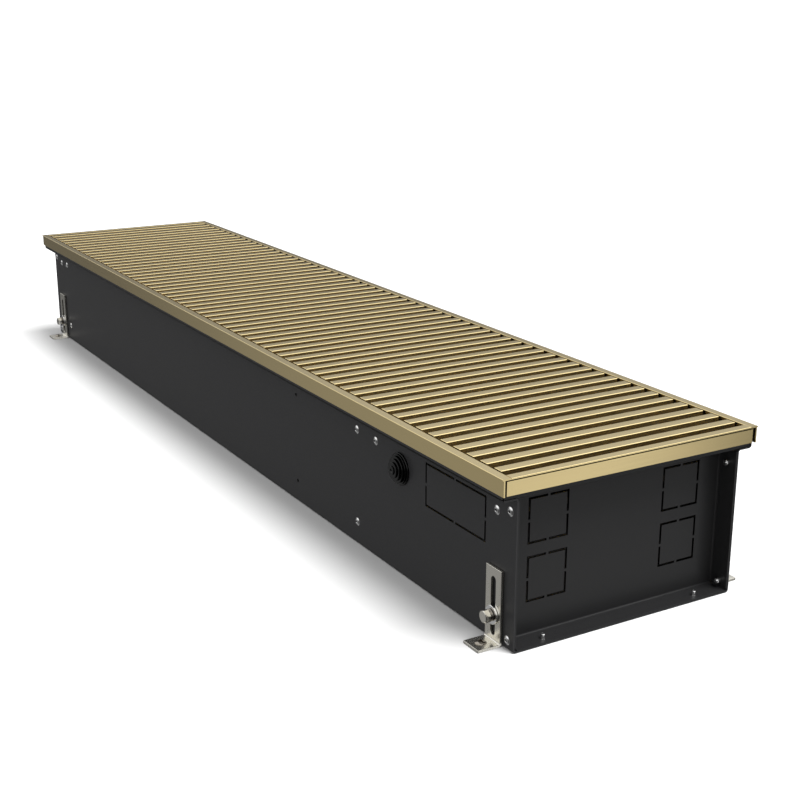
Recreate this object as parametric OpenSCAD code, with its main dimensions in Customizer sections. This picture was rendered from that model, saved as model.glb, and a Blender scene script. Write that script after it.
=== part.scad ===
// Trench convector heater: a folded steel trough let into a floor, with a finned copper exchanger and a
// cross-flow fan inside, an edge frame round its rim and a lift-out grille of cross bars on top.
// X runs along the trough towards the connection end, Z is up, and the trough stands on Z = 0.

/* [Casing] */
// Length of the trough
casing_l = 1212; // [1150:1:1400]
// Width across the trough's walls
casing_w = 230; // [228:0.5:250]
// Height from the floor to the top of the grille and frame
total_h = 152; // [150:0.5:190]
// Thickness of the folded steel sheet
sheet_t = 1.2; // [1:0.1:1.5]
// Inner radius of every sheet fold
bend_r = 1.5; // [1:0.1:2]
// Reach of the outward ledge that carries frame and grille
ledge_w = 14.1; // [12:0.1:18]
// Depth of the recess in front of each end plate
end_recess = 20; // [18:0.5:26]
// Distance from the trough's end to the outer face of the end plate's lip
end_lip_in = 0.9; // [0.5:0.1:2]
// Side gap between the trough and the plates that fit inside it
inner_gap = 0.2; // [0.1:0.05:0.4]

/* [Knockouts] */
// Side of the square pipe knockouts in the end plates
pipe_ko = 39.5; // [30:0.5:42]
// Distance of the pipe knockouts from the trough's centre plane
pipe_ko_y = 69.5; // [50:0.5:75]
// Upper pipe knockouts' centres, below the frame's top
pipe_ko_down = 50.3; // [50:0.1:53]
// Web left between the upper and the lower pipe knockouts
pipe_ko_web = 11.3; // [8:0.1:14]
// Width of the slits round every knockout
slit_w = 1.4; // [0.8:0.1:2]
// Width of the bridge left in the middle of each slit
slit_bridge = 4; // [2:0.5:8]
// Length of the service knockout in the front wall
service_ko_l = 92; // [60:0.5:100]
// Height of the service knockout
service_ko_h = 39.5; // [20:0.5:42]
// Service knockout's centre, from the connection end
service_ko_in = 88.5; // [80:0.5:95]
// Service knockout's centre, below the frame's top
service_ko_down = 51.3; // [50:0.1:62]

/* [Frame] */
// Width of the frame's top
frame_w = 8.1; // [6.5:0.1:9]
// Wall of the frame profile
frame_t = 1.3; // [1:0.1:1.5]
// Height of the frame's outer skirt, with its top
frame_skirt_h = 14.8; // [10:0.1:17]
// How far the frame's top stands out past its skirt
frame_over = 1; // [0.5:0.1:2]
// How far the frame reaches past the trough's end
frame_end_over = 3.3; // [3:0.1:5]
// Edge radius of the frame's top
frame_r = 0.5; // [0.2:0.05:0.6]
// Gap between the end skirt and the long skirt at a corner
frame_corner_gap = 2.3; // [1:0.1:4]

/* [Grille] */
// Width of a grille bar
bar_w = 10; // [8:0.1:12]
// Height of a grille bar
bar_h = 18; // [16:0.1:20]
// Distance between neighbouring bars
bar_pitch = 19.63; // [18:0.01:24]
// Wall of the hollow bar profile
bar_wall = 1.4; // [1:0.1:2]
// Radius of a bar's top edges
bar_r = 1.2; // [0.5:0.1:2]
// Gap between a bar's end and the frame
bar_end_gap = 2; // [1:0.1:3]
// Least gap between the outermost bars and the end frames
bar_row_gap = 4; // [2:0.5:8]
// How far the loose grille lies towards the far end
grille_shift = 1.6; // [0:0.1:3]
// Distance of the two grille cores from the centre plane
core_y = 75; // [40:1:100]
// Diameter of a grille core
core_d = 6; // [4:0.1:7]
// Outer diameter of the spacers between the bars
spacer_d = 8.4; // [7:0.1:10]
// Thickness of the rubber strip under the bars' ends
strip_t = 0.9; // [0.6:0.1:1.5]

/* [Feet] */
// Foot bracket's middle, from the connection end
foot_in_near = 25.7; // [25.7:0.1:32]
// Foot bracket's middle, from the far end
foot_in_far = 30.6; // [25.7:0.1:36]
// Width of a foot bracket
foot_w = 21.5; // [18:0.5:24]
// Thickness of a foot bracket
foot_t = 2.5; // [2:0.1:3]
// Height of a foot bracket
foot_h = 66; // [62:0.5:75]
// How far the foot reaches out from the wall
foot_reach = 23.3; // [22:0.1:30]
// Width of the adjusting slot
foot_slot_w = 6.6; // [6.4:0.1:7.2]
// Lower end of the adjusting slot
foot_slot_z = 7; // [6:0.5:9]
// Length of the adjusting slot
foot_slot_l = 51.2; // [40:0.1:52]
// Height of the clamping bolt above the floor
bolt_z = 25; // [24:0.5:30]
// Diameter of the clamping bolt
bolt_d = 6; // [5:0.1:6.2]
// Distance of the floor screw from the wall
foot_screw_out = 13.5; // [13.5:0.1:15]

/* [Rivets] */
// Shank diameter of the blind rivets
rivet_d = 4; // [3:0.1:4.8]
// Head diameter of the blind rivets
rivet_head_d = 8; // [6:0.1:9.5]
// Height of the rivet heads
rivet_head_h = 1.3; // [0.8:0.1:1.6]
// Rivets of the end plates, from the trough's end
end_rivet_in = 8.8; // [7:0.1:10]
// End plates' upper rivets, below the frame's top
end_rivet_down = 33; // [32:0.5:42]
// Height of the end plates' lower rivets
end_rivet_lo_z = 8.6; // [8.6:0.1:16]
// Distance of the floor rivets from the centre plane
floor_rivet_y = 81; // [40:1:95]

/* [Partitions and spreaders] */
// Rivet line of the near partition, from the connection end
partition_in_near = 257; // [240:1:280]
// Rivet line of the far partition, from the far end
partition_in_far = 58; // [56:0.5:80]
// Width of the partitions' side flanges
partition_flange = 14; // [12:0.5:16]
// Top edge of the partitions, below the frame's top
partition_down = 26.75; // [25:0.25:28]
// Partitions' upper rivets, below the frame's top
partition_rivet_down = 37; // [36:0.5:52]
// Height of the partitions' lower rivets
partition_lo_z = 23; // [14:0.5:30]
// Rivet line of the unused pair of holes, from the connection end
spare_hole_in = 385; // [360:1:400]
// Width of a spreader bar
spreader_w = 10; // [8:0.5:11]
// Height of a spreader bar's end tabs
spreader_tab = 14; // [12:0.5:16]
// Spreader bars' rivets, below the frame's top
spreader_down = 37.8; // [36:0.1:39]
// Near spreader, from the connection end
spreader_in_near = 27.1; // [27:0.1:40]
// Middle spreader, from the connection end
spreader_in_mid = 221.6; // [216:0.1:230]
// Far spreader, from the far end
spreader_in_far = 32.4; // [28:0.1:33]

/* [Heat exchanger] */
// Outer diameter of the copper tubes
tube_d = 12.7; // [10:0.1:15]
// Wall of the copper tubes
tube_wall = 0.8; // [0.5:0.1:1.2]
// Top of the fins, below the frame's top
fin_down = 39.5; // [38:0.5:41]
// Distance between lower and upper tubes
tube_row_z = 25; // [22:0.5:25]
// Gap between the fins and the rear wall
fin_wall_gap = 8.8; // [6:0.1:10]
// Distance between front and rear tubes
tube_row_y = 50; // [46:0.5:52]
// Width of a fin
fin_w = 100; // [90:0.5:100]
// Height of a fin
fin_h = 50; // [44:0.5:50]
// Thickness of a fin
fin_t = 0.4; // [0.3:0.05:0.6]
// Distance between fins
fin_pitch = 6; // [5:0.25:12]
// Wall of the collars that space the fins
fin_collar = 0.5; // [0.3:0.05:0.8]
// Straight part of the tubes past the partitions
tube_stub = 5; // [4:0.5:7]
// Outer diameter of the brass connectors
connector_d = 24; // [23:0.5:26]
// Across flats of the connectors' hexagon
connector_hex = 27; // [25:0.5:30]
// Length of a connector
connector_l = 38; // [34:0.5:45]
// Core diameter of the connector's inner thread
connector_bore_d = 18.6; // [16:0.1:19]
// Depth of the connector's inner thread
connector_bore_l = 16; // [12:0.5:18]
// Diameter of the air vent's body
vent_d = 10; // [9:0.5:11]
// Height of the air vent's body
vent_h = 14; // [10:0.5:15]
// Diameter of the vent screw's head
vent_screw_d = 7; // [6:0.5:8]

/* [Fan] */
// Distance of the fan's shaft from the inside of the front wall
fan_in = 51.8; // [50.8:0.1:53.8]
// How far the fan's shaft lies below the middle of the height between floor and grille
fan_low = 5.6; // [3.6:0.1:7.6]
// Outer diameter of the impellers
impeller_d = 60; // [50:1:62]
// Radial depth of the blade ring
blade_ring = 7; // [5:0.5:9]
// Number of blades round an impeller
blade_n = 24; // [16:1:28]
// Thickness of a blade
blade_t = 0.7; // [0.5:0.05:1]
// Longest blade stretch between two discs
segment_l = 80; // [60:5:120]
// Thickness of an impeller disc
disc_t = 1.6; // [1:0.1:2.5]
// Diameter of the fan's shaft
shaft_d = 8; // [6:0.5:10]
// Inner radius of the scroll under the impellers
scroll_r = 40; // [38:0.5:41]
// Thickness of scroll, tongue and motor plates
fan_sheet = 1; // [0.8:0.1:1.2]
// Diameter of the motor
motor_d = 54; // [44:1:60]
// Length of the motor
motor_l = 66; // [50:1:90]

/* [Terminal box and cables] */
// Length of the terminal box
box_l = 96; // [80:1:100]
// Width of the terminal box
box_w = 48; // [40:1:50]
// Height of the terminal box with its lid
box_h = 42; // [36:0.5:50]
// Wall of the terminal box
box_wall = 2; // [1.5:0.1:2.5]
// Gap between the near partition and the terminal box
box_gap = 32.8; // [30:0.1:37]
// Grommet's centre, from the connection end
grommet_in = 177; // [170:1:185]
// Grommet's centre, below the frame's top
grommet_down = 50.6; // [49:0.1:57]
// Outer diameter of the grommet's flange
grommet_d = 30; // [26:0.5:32]
// How far the grommet's cone stands out of the wall
grommet_out = 14; // [10:0.5:15]
// Number of steps on the grommet's cone
grommet_steps = 5; // [3:1:6]
// Diameter of the motor cable
cable_d = 6; // [5:0.1:7]

/* [Hidden] */

// How far cuts run past the faces they open
over = 1;
// Gap between pieces of different bodies that slide on or rest near each other
slide_gap = 0.3;
// Radial play of shafts, bolts and rivets in their holes
hole_play = 0.05;
// Steps along a rounded profile corner
arc_n = 5;

// Heights of the casing's parts, from the grille's top down
bar_z = total_h - bar_h;
ledge_top = bar_z - slide_gap - strip_t;
ledge_z = ledge_top - sheet_t;
lip_top = total_h - frame_t;
frame_leg_gap = 0.5;
pipe_ko_hi_z = total_h - pipe_ko_down;
pipe_ko_lo_z = pipe_ko_hi_z - pipe_ko - pipe_ko_web;
service_ko_z = total_h - service_ko_down;
grommet_z = total_h - grommet_down;
end_rivet_hi_z = total_h - end_rivet_down;
partition_h = total_h - partition_down - sheet_t - hole_play;
partition_hi_z = total_h - partition_rivet_down;
spreader_z = total_h - spreader_down;
fin_z = total_h - fin_down - fin_h / 2;
tube_z = fin_z - tube_row_z / 2;
fan_z = (sheet_t + bar_z) / 2 - fan_low;

// Places across the trough
wall_y = casing_w / 2;
wall_in_y = wall_y - sheet_t;
rail_y = wall_y + ledge_w;
frame_fit = 0.1;
frame_y = rail_y + frame_fit + frame_t + frame_over;
frame_y_in = frame_y - frame_w;
plate_y = wall_in_y - inner_gap;
bend_out = bend_r + sheet_t;

// Places along the trough
end_x = casing_l / 2;
pan_x = end_x - end_recess;
end_lip_x = end_x - end_lip_in;
frame_x = end_x + frame_end_over;
frame_x_in = frame_x - frame_w;
near_x = end_x - partition_in_near - partition_flange / 2;
far_x = end_x - partition_in_far - partition_flange / 2;
span_l = near_x + far_x;
span_x = (near_x - far_x) / 2;

// Grille layout
bar_half = frame_y_in - bar_end_gap;
bar_room = 2 * (frame_x_in - bar_row_gap) - bar_w;
bar_n = floor(bar_room / bar_pitch) + 1;
bar_x0 = -(bar_n - 1) * bar_pitch / 2 - grille_shift;
core_z = bar_z + bar_h / 2 - bar_wall;

// Rivets
rivet_grip = 2 * sheet_t + inner_gap;
tail_d = rivet_d * 1.4;
tail_l = rivet_d * 1.2;
mandrel_d = rivet_d * 0.5;
rivet_hole_r = rivet_d / 2 + hole_play;
countersink_h = sheet_t * 0.6;
floor_rivet_in = end_recess * 0.35;

// Rivet places along a wall: distance along X, height
wall_rivet_spots = [
    [end_x - end_rivet_in, end_rivet_hi_z], [end_x - end_rivet_in, end_rivet_lo_z],
    [-end_x + end_rivet_in, end_rivet_hi_z], [-end_x + end_rivet_in, end_rivet_lo_z],
    [end_x - partition_in_near, partition_hi_z], [end_x - partition_in_near, partition_lo_z],
    [-end_x + partition_in_far, partition_hi_z], [-end_x + partition_in_far, partition_lo_z],
    [end_x - spreader_in_near, spreader_z], [end_x - spreader_in_mid, spreader_z],
    [-end_x + spreader_in_far, spreader_z]];
spare_spots = [[end_x - spare_hole_in, partition_hi_z], [end_x - spare_hole_in, partition_lo_z]];

// Feet
foot_back_y = wall_y + slide_gap;
foot_face_y = foot_back_y + foot_t;
foot_bend = foot_t * 0.6;
washer_d = bolt_d * 2.7;
washer_t = bolt_d * 0.27;
lock_d = bolt_d * 1.75;
lock_t = bolt_d * 0.47;
bolt_head_af = bolt_d / 0.6;
bolt_head_h = bolt_d * 0.83;
nut_wall = 1.4;
nut_d = bolt_d + 2 * nut_wall;
nut_l = bolt_d * 2;
floor_screw_d = 5;
floor_screw_head_d = 10;
floor_screw_head_h = 2.2;

// Exchanger
fin_gap = 2;
fin_y = wall_in_y - fin_wall_gap - fin_w / 2;
tube_y = fin_y - tube_row_y / 2;
fin_run = span_l - 2 * fin_gap;
fin_n = floor((fin_run - fin_t) / fin_pitch) + 1;
crossover_x = near_x + sheet_t + tube_stub;
vent_x = crossover_x + tube_row_y / 2;
vent_z = tube_z + tube_row_z + tube_d / 2 - tube_wall;
vent_pin_d = vent_d * 0.4;
vent_pin_l = vent_h * 0.55;
vent_head_h = vent_d * 0.4;
vent_stub_r = vent_d * 0.35;
connector_wall = 2.2;
connector_socket_l = connector_l * 0.3;
connector_hex_l = connector_l * 0.32;

// Fan
fan_y = wall_in_y - fan_in;
scroll_out = scroll_r + fan_sheet;
scroll_down = 40;
scroll_top_z = total_h - scroll_down;
scroll_wall_gap = 5;
scroll_fin_gap = 3;
scroll_rear_y = wall_in_y - scroll_wall_gap;
scroll_rear_r = 12;
scroll_rear_z = fin_z - fin_h / 2 - scroll_fin_gap;
tongue_y = fan_y - scroll_out - fan_sheet;
tongue_top_z = scroll_top_z + fan_sheet;
tongue_low_z = fan_z - impeller_d * 0.2;
tongue_bend = 3;
hub_d = shaft_d * 2.2;
motor_gap = 3;
plate_off = motor_l / 2 + motor_gap;
impeller_start = plate_off + fan_sheet + motor_gap;
bearing_l = 11;
bearing_d = 22;
bearing_flange_d = 32;
bearing_flange_t = 2.5;
mount_ring_r = bearing_flange_d * 0.44;
motor_boss_r = shaft_d * 1.25;
impeller_end = bearing_l + motor_gap;
impeller_l = span_l / 2 - impeller_start - impeller_end;

// Terminal box
box_wall_gap = 0.5;
box_y = wall_in_y - bend_r - box_wall_gap - box_w / 2;
box_x = near_x + sheet_t + box_gap + box_l / 2;
box_z = sheet_t;
box_r = 2 * box_wall;
lid_t = 2.4;
base_h = box_h - lid_t;
lid_screw_d = 3;
lid_screw_head_d = 5.6;
boss_in = lid_screw_head_d * 0.8 + box_wall;
gland_d = 12;
gland_l = 9;
gland_neck_r = gland_d * 0.4;

// Grommet and motor cable: the cable passes inside the rivets' tails and over the scroll
grommet_hole_r = grommet_d * 0.4;
cable_bend = 10;
cable_gap = 2;
cable_y = wall_y - rivet_grip - tail_l - slide_gap - cable_d / 2;
cable_z = scroll_top_z + cable_gap + cable_d / 2;
cable_rise_x = near_x + sheet_t + cable_bend + cable_d / 2;
cable_from_x = box_x - box_l / 2;
cable_from_z = box_z + base_h / 2;

// Outline of a folded strip of sheet. Each step is a straight length, the turn that follows it and that
// turn's inner radius. The strip's thickness lies to the left of the path.
function heading(a) = [cos(a), sin(a)];
function left_of(a) = [-sin(a), cos(a)];
function side_pair(p, a, t) = [p, p + t * left_of(a)];
function turn_pairs(p, a, turn, r, t) = turn == 0 ? [] :
    let (s = sign(turn), rp = turn > 0 ? r + t : r, c = p + s * rp * left_of(a))
    let (n = max(arc_n, ceil(arc_n * r / (8 * t))))
    [for (i = [1:n]) let (b = a + turn * i / n) side_pair(c - s * rp * left_of(b), b, t)];
function turn_end(p, a, turn, r, t) = turn == 0 ? p :
    let (s = sign(turn), rp = turn > 0 ? r + t : r)
    p + s * rp * left_of(a) - s * rp * left_of(a + turn);
function trace(steps, t, p, a, i = 0) = i == len(steps) ? [] :
    let (q = p + steps[i][0] * heading(a))
    concat([side_pair(p, a, t), side_pair(q, a, t)], turn_pairs(q, a, steps[i][1], steps[i][2], t),
        trace(steps, t, turn_end(q, a, steps[i][1], steps[i][2], t), a + steps[i][1], i + 1));
module folded(steps, t, start, a) {
    pairs = trace(steps, t, start, a);
    last = len(pairs) - 1;
    polygon(concat([for (q = pairs) q[0]], [for (i = [last:-1:0]) pairs[i][1]]));
}

// Points of an arc about c, from angle a to angle b
function arc(c, r, a, b, n) = [for (i = [0:n]) c + r * heading(a + (b - a) * i / n)];

// A flat outline drawn across and up, drawn out along X
module along_x(l) { rotate([90, 0, 90]) linear_extrude(height = l, center = true) children(); }
// A flat outline drawn along and up, drawn out along Y
module along_y(l) { rotate([90, 0, 0]) linear_extrude(height = l, center = true) children(); }
// Children on both long sides
module both_sides() {
    children();
    mirror([0, 1, 0]) children();
}
// Children whose Z axis points out of the front wall, at a distance along X and a height
module on_front(x, y, z) { translate([x, -y, z]) rotate([90, 0, 0]) children(); }

// Corner slits of a knockout, with a bridge left in the middle of each side
module knockout_slits(w, h) {
    difference() {
        square([w, h], center = true);
        square([w - 2 * slit_w, h - 2 * slit_w], center = true);
        square([slit_bridge, h + over], center = true);
        square([w + over, slit_bridge], center = true);
    }
}

// U-section with its web on the first axis, centred, and both flanges rising
module channel(web, flange, t, r) {
    up = flange - r - t;
    flat = web - 2 * (r + t);
    folded([[up, 90, r], [flat, 90, r], [up, 0, 0]], t, [-web / 2, flange], -90);
}

// Cuts that take both lower corners off a piece that fits across a folded trough, from a place along X
module corner_cuts(x, l, half, z) {
    both_sides() translate([x, -half, z]) rotate([45, 0, 0])
        translate([0, -bend_r / sqrt(2), -bend_r / sqrt(2)]) cube([l, bend_r * sqrt(2), bend_r * sqrt(2)]);
}

// Rivet holes of one wall, through everything near it
module wall_rivet_holes(spots, depth) {
    for (s = spots)
        translate([s[0], 0, s[1]])
            both_sides() translate([0, -wall_y - over, 0])
                rotate([-90, 0, 0]) cylinder(h = depth + over, r = rivet_hole_r, $fn = 24);
}

module trough() {
    steps = [
        [lip_top - ledge_z - bend_out, 90, bend_r], [ledge_w - bend_out - bend_r, -90, bend_r],
        [ledge_z - bend_out - bend_r, 90, bend_r], [casing_w - 2 * bend_out, 90, bend_r],
        [ledge_z - bend_out - bend_r, -90, bend_r], [ledge_w - bend_out - bend_r, 90, bend_r],
        [lip_top - ledge_z - bend_out, 0, 0]];
    color([0.2, 0.2, 0.205]) difference() {
        along_x(casing_l) folded(steps, sheet_t, [-rail_y, lip_top], -90);
        wall_rivet_holes(concat(wall_rivet_spots, spare_spots), 2 * sheet_t);
        on_front(end_x - service_ko_in, wall_y, service_ko_z)
            linear_extrude(height = 2 * (sheet_t + over), center = true)
                knockout_slits(service_ko_l, service_ko_h);
        on_front(end_x - grommet_in, wall_y, grommet_z)
            cylinder(h = 2 * (sheet_t + over), r = grommet_hole_r, center = true, $fn = 48);
        for (x = [end_x - foot_in_near, -end_x + foot_in_far])
            both_sides() on_front(x, wall_y, bolt_z)
                cylinder(h = 2 * (sheet_t + over), r = nut_d / 2 + hole_play, center = true, $fn = 32);
        for (s = [-1, 1], side = [-1, 1])
            translate([s * (end_x - floor_rivet_in), side * floor_rivet_y, 0]) {
                cylinder(h = 2 * (sheet_t + over), r = rivet_hole_r, center = true, $fn = 24);
                translate([0, 0, -hole_play])
                    cylinder(h = countersink_h, r1 = rivet_head_d / 2, r2 = rivet_hole_r, $fn = 24);
            }
    }
}

// End plate, as it stands at the connection end: a pan set back from the trough's end, with folded edges
module end_plate() {
    pan_steps = [
        [end_recess - inner_gap - bend_r, -90, bend_r], [ledge_z - 2 * sheet_t - 2 * bend_r, -90, bend_r],
        [end_lip_x - pan_x - bend_r - bend_out, 90, bend_r], [lip_top - ledge_z - bend_out, 0, 0]];
    flange_l = end_recess + sheet_t - inner_gap;
    lip_half = rail_y - sheet_t - inner_gap;
    difference() {
        union() {
            along_y(2 * (plate_y - bend_out))
                folded(pan_steps, sheet_t, [end_x - inner_gap, 2 * sheet_t], 180);
            translate([pan_x - sheet_t, 0, 2 * sheet_t + bend_r])
                rotate([0, 0, -90])
                    linear_extrude(height = ledge_z - 2 * sheet_t - 2 * bend_r)
                        channel(2 * plate_y, flange_l, sheet_t, bend_r);
            translate([end_lip_x - sheet_t, -lip_half, ledge_top + hole_play])
                cube([sheet_t, 2 * lip_half, lip_top - ledge_top - hole_play]);
        }
        corner_cuts(end_lip_x - sheet_t - over, sheet_t + 2 * over, lip_half, ledge_top + hole_play);
        wall_rivet_holes(wall_rivet_spots, 4 * sheet_t);
        for (side = [-1, 1]) {
            translate([end_x - floor_rivet_in, side * floor_rivet_y, 0])
                cylinder(h = 4 * sheet_t, r = rivet_hole_r, $fn = 24);
            for (z = [pipe_ko_lo_z, pipe_ko_hi_z])
                translate([pan_x - sheet_t / 2, side * pipe_ko_y, z])
                    along_x(2 * (sheet_t + over)) knockout_slits(pipe_ko, pipe_ko);
        }
    }
}
module end_plate_near() { color([0.175, 0.175, 0.18]) end_plate(); }
module end_plate_far() { color([0.175, 0.175, 0.18]) mirror([1, 0, 0]) end_plate(); }

// Section of the frame profile: inner leg at zero, skirt at the far side, top at zero height
module frame_section() {
    skirt = frame_w - frame_over;
    leg_h = total_h - ledge_top - frame_leg_gap;
    polygon(concat(
        [[0, -leg_h]],
        arc([frame_r, -frame_r], frame_r, 180, 90, arc_n),
        arc([frame_w - frame_r, -frame_r], frame_r, 90, 0, arc_n),
        [[frame_w, -frame_t], [skirt, -frame_t], [skirt, -frame_skirt_h],
        [skirt - frame_t, -frame_skirt_h], [skirt - frame_t, -frame_t], [frame_t, -frame_t],
        [frame_t, -leg_h]]));
}
// Long frame profile: it runs through, and its inner leg stops short of the end frames
module frame_long() {
    difference() {
        translate([0, frame_y_in, total_h]) along_x(2 * frame_x) frame_section();
        for (s = [-1, 1])
            translate([s * (frame_x - frame_w / 2 + frame_fit), frame_y_in + frame_t / 2, total_h / 2])
                cube([frame_w + 2 * frame_fit + frame_fit, frame_t + 2 * frame_fit, total_h - 2 * frame_t],
                    center = true);
    }
}
// End frame profile: its top fits between the long ones, and its skirt reaches under them
module frame_end() {
    skirt_half = frame_y - frame_over - frame_t - frame_corner_gap;
    union() {
        translate([frame_x_in, 0, total_h]) along_y(2 * (frame_y_in - frame_fit)) frame_section();
        translate([frame_x - frame_over - frame_t, -skirt_half, total_h - frame_skirt_h])
            cube([frame_t, 2 * skirt_half, frame_skirt_h - frame_t - frame_fit]);
    }
}
module frame_front() { color([0.66, 0.58, 0.42]) mirror([0, 1, 0]) frame_long(); }
module frame_rear() { color([0.66, 0.58, 0.42]) frame_long(); }
module frame_end_near() { color([0.72, 0.63, 0.45]) frame_end(); }
module frame_end_far() { color([0.72, 0.63, 0.45]) mirror([1, 0, 0]) frame_end(); }

module seal_strips() {
    strip_in = wall_in_y + bend_out;
    color([0.06, 0.06, 0.06]) both_sides()
        translate([-frame_x_in + frame_fit, strip_in, ledge_top])
            cube([2 * (frame_x_in - frame_fit), bar_half - strip_in, strip_t]);
}

// Blind rivet along Z: domed head above zero, shank below it, swollen tail at its end
module blind_rivet(grip) {
    dome_r = (pow(rivet_head_d / 2, 2) + pow(rivet_head_h, 2)) / (2 * rivet_head_h);
    dome_a = asin(rivet_head_d / 2 / dome_r);
    hole_a = asin(mandrel_d / 2 / dome_r);
    tail_z = -grip - tail_l;
    rotate_extrude($fn = 24) polygon(concat(
        [[0, tail_z], [tail_d * 0.3, tail_z], [tail_d / 2, tail_z + tail_l * 0.4], [tail_d / 2, -grip],
        [rivet_d / 2, -grip], [rivet_d / 2, 0]],
        arc([0, rivet_head_h - dome_r], dome_r, 90 - dome_a, 90 - hole_a, arc_n),
        [[mandrel_d / 2, 0], [0, 0]]));
}
module wall_rivets() {
    color([0.85, 0.85, 0.86]) both_sides()
        for (s = wall_rivet_spots) on_front(s[0], wall_y, s[1]) blind_rivet(rivet_grip);
}
// Flush rivet along Z: countersunk head at zero, tail above
module flush_rivet() {
    grip = 2 * sheet_t;
    head_r = rivet_head_d / 2 - 2 * hole_play;
    rotate_extrude($fn = 24) polygon([[0, 0], [head_r, 0], [rivet_d / 2, countersink_h - 2 * hole_play],
        [rivet_d / 2, grip], [tail_d / 2, grip], [tail_d / 2, grip + tail_l * 0.6],
        [tail_d * 0.32, grip + tail_l], [0, grip + tail_l]]);
}
module floor_rivets() {
    color([0.85, 0.85, 0.86]) for (s = [-1, 1], side = [-1, 1])
        translate([s * (end_x - floor_rivet_in), side * floor_rivet_y, 0]) flush_rivet();
}

module spreader_bars() {
    low_z = spreader_z - spreader_tab / 2;
    color([0.2, 0.2, 0.205]) for (x = [end_x - spreader_in_near, end_x - spreader_in_mid,
            -end_x + spreader_in_far])
        difference() {
            translate([x, 0, low_z])
                along_x(spreader_w) channel(2 * plate_y, spreader_tab, sheet_t, bend_r);
            wall_rivet_holes(wall_rivet_spots, 4 * sheet_t);
        }
}

// Partition, as it stands at the connection end: flanged plate with holes for tubes, shaft and cable
module partition(plate_x) {
    difference() {
        translate([plate_x, 0, sheet_t + hole_play])
            rotate([0, 0, -90]) linear_extrude(height = partition_h)
                channel(2 * plate_y, partition_flange, sheet_t, bend_r);
        corner_cuts(plate_x - over, partition_flange + 2 * over, plate_y, sheet_t + hole_play);
        tube_cuts(plate_x, tube_d / 2 + hole_play);
        translate([plate_x - over, -fan_y, fan_z])
            rotate([0, 90, 0]) cylinder(h = sheet_t + 2 * over, r = shaft_d, $fn = 32);
        translate([plate_x - over, -cable_y, cable_z])
            rotate([0, 90, 0]) cylinder(h = sheet_t + 2 * over, r = cable_d * 0.75, $fn = 32);
    }
}
module tube_cuts(plate_x, r) {
    for (y = [tube_y, tube_y + tube_row_y], z = [tube_z, tube_z + tube_row_z])
        translate([plate_x - over, y, z]) rotate([0, 90, 0])
            cylinder(h = sheet_t + 2 * over, r = r, $fn = 32);
}
module partition_near() {
    color([0.2, 0.2, 0.205]) difference() {
        partition(near_x);
        wall_rivet_holes(wall_rivet_spots, 4 * sheet_t);
    }
}
module partition_far() {
    color([0.2, 0.2, 0.205]) difference() {
        mirror([1, 0, 0]) partition(far_x);
        wall_rivet_holes(wall_rivet_spots, 4 * sheet_t);
    }
}

// Collared aluminium fins on the four tubes, one stack because each collar meets the next fin
module fin_pack() {
    run = (fin_n - 1) * fin_pitch + fin_t;
    color([0.78, 0.79, 0.8]) difference() {
        union() {
            for (i = [0:fin_n - 1])
                translate([span_x - run / 2 + fin_t / 2 + i * fin_pitch, fin_y, fin_z])
                    cube([fin_t, fin_w, fin_h], center = true);
            tube_rods(span_x, run, tube_d / 2 + hole_play + fin_collar);
        }
        tube_rods(span_x, run + 2 * over, tube_d / 2 + hole_play);
    }
}
module tube_rods(x, l, r) {
    for (y = [tube_y, tube_y + tube_row_y], z = [tube_z, tube_z + tube_row_z])
        translate([x, y, z]) rotate([0, 90, 0]) cylinder(h = l, r = r, center = true, $fn = 32);
}
module copper_tube(y, z, near_end) {
    far_end = -far_x - sheet_t - tube_stub;
    translate([far_end, y, z]) rotate([0, 90, 0]) difference() {
        cylinder(h = near_end - far_end, r = tube_d / 2, $fn = 32);
        translate([0, 0, -over])
            cylinder(h = near_end - far_end + 2 * over, r = tube_d / 2 - tube_wall, $fn = 32);
    }
}
module exchanger_tubes() {
    low_end = near_x + sheet_t + connector_socket_l;
    color([0.72, 0.42, 0.28]) for (y = [tube_y, tube_y + tube_row_y]) {
        copper_tube(y, tube_z, low_end);
        copper_tube(y, tube_z + tube_row_z, crossover_x);
    }
}

// Half-turn copper bend in the XY plane, bulging to +Y, with a brazing socket over each tube's end
module u_bend(bend) {
    socket = tube_stub * 0.7;
    seat_r = tube_d / 2 + hole_play;
    difference() {
        union() {
            rotate_extrude(angle = 180, $fn = 48) translate([bend, 0]) circle(r = tube_d / 2, $fn = 32);
            for (s = [-1, 1]) translate([s * bend, -socket, 0])
                rotate([-90, 0, 0]) cylinder(h = socket + tube_wall, r = seat_r + tube_wall, $fn = 32);
        }
        rotate_extrude(angle = 180, $fn = 48)
            translate([bend, 0]) circle(r = tube_d / 2 - tube_wall, $fn = 32);
        for (s = [-1, 1]) translate([s * bend, -socket - over, 0])
            rotate([-90, 0, 0]) cylinder(h = socket + over, r = seat_r, $fn = 32);
    }
}
module return_bends() {
    color([0.72, 0.42, 0.28]) for (y = [tube_y, tube_y + tube_row_y])
        translate([-far_x - sheet_t - tube_stub, y, tube_z + tube_row_z / 2])
            rotate([90, 0, 0]) rotate([0, 0, 90]) u_bend(tube_row_z / 2);
}
module crossover_bend() {
    color([0.72, 0.42, 0.28]) difference() {
        translate([crossover_x, tube_y + tube_row_y / 2, tube_z + tube_row_z])
            rotate([0, 0, -90]) u_bend(tube_row_y / 2);
        translate([vent_x, tube_y + tube_row_y / 2, tube_z + tube_row_z])
            cylinder(h = tube_d, r = vent_stub_r + hole_play, $fn = 32);
    }
}

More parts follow.
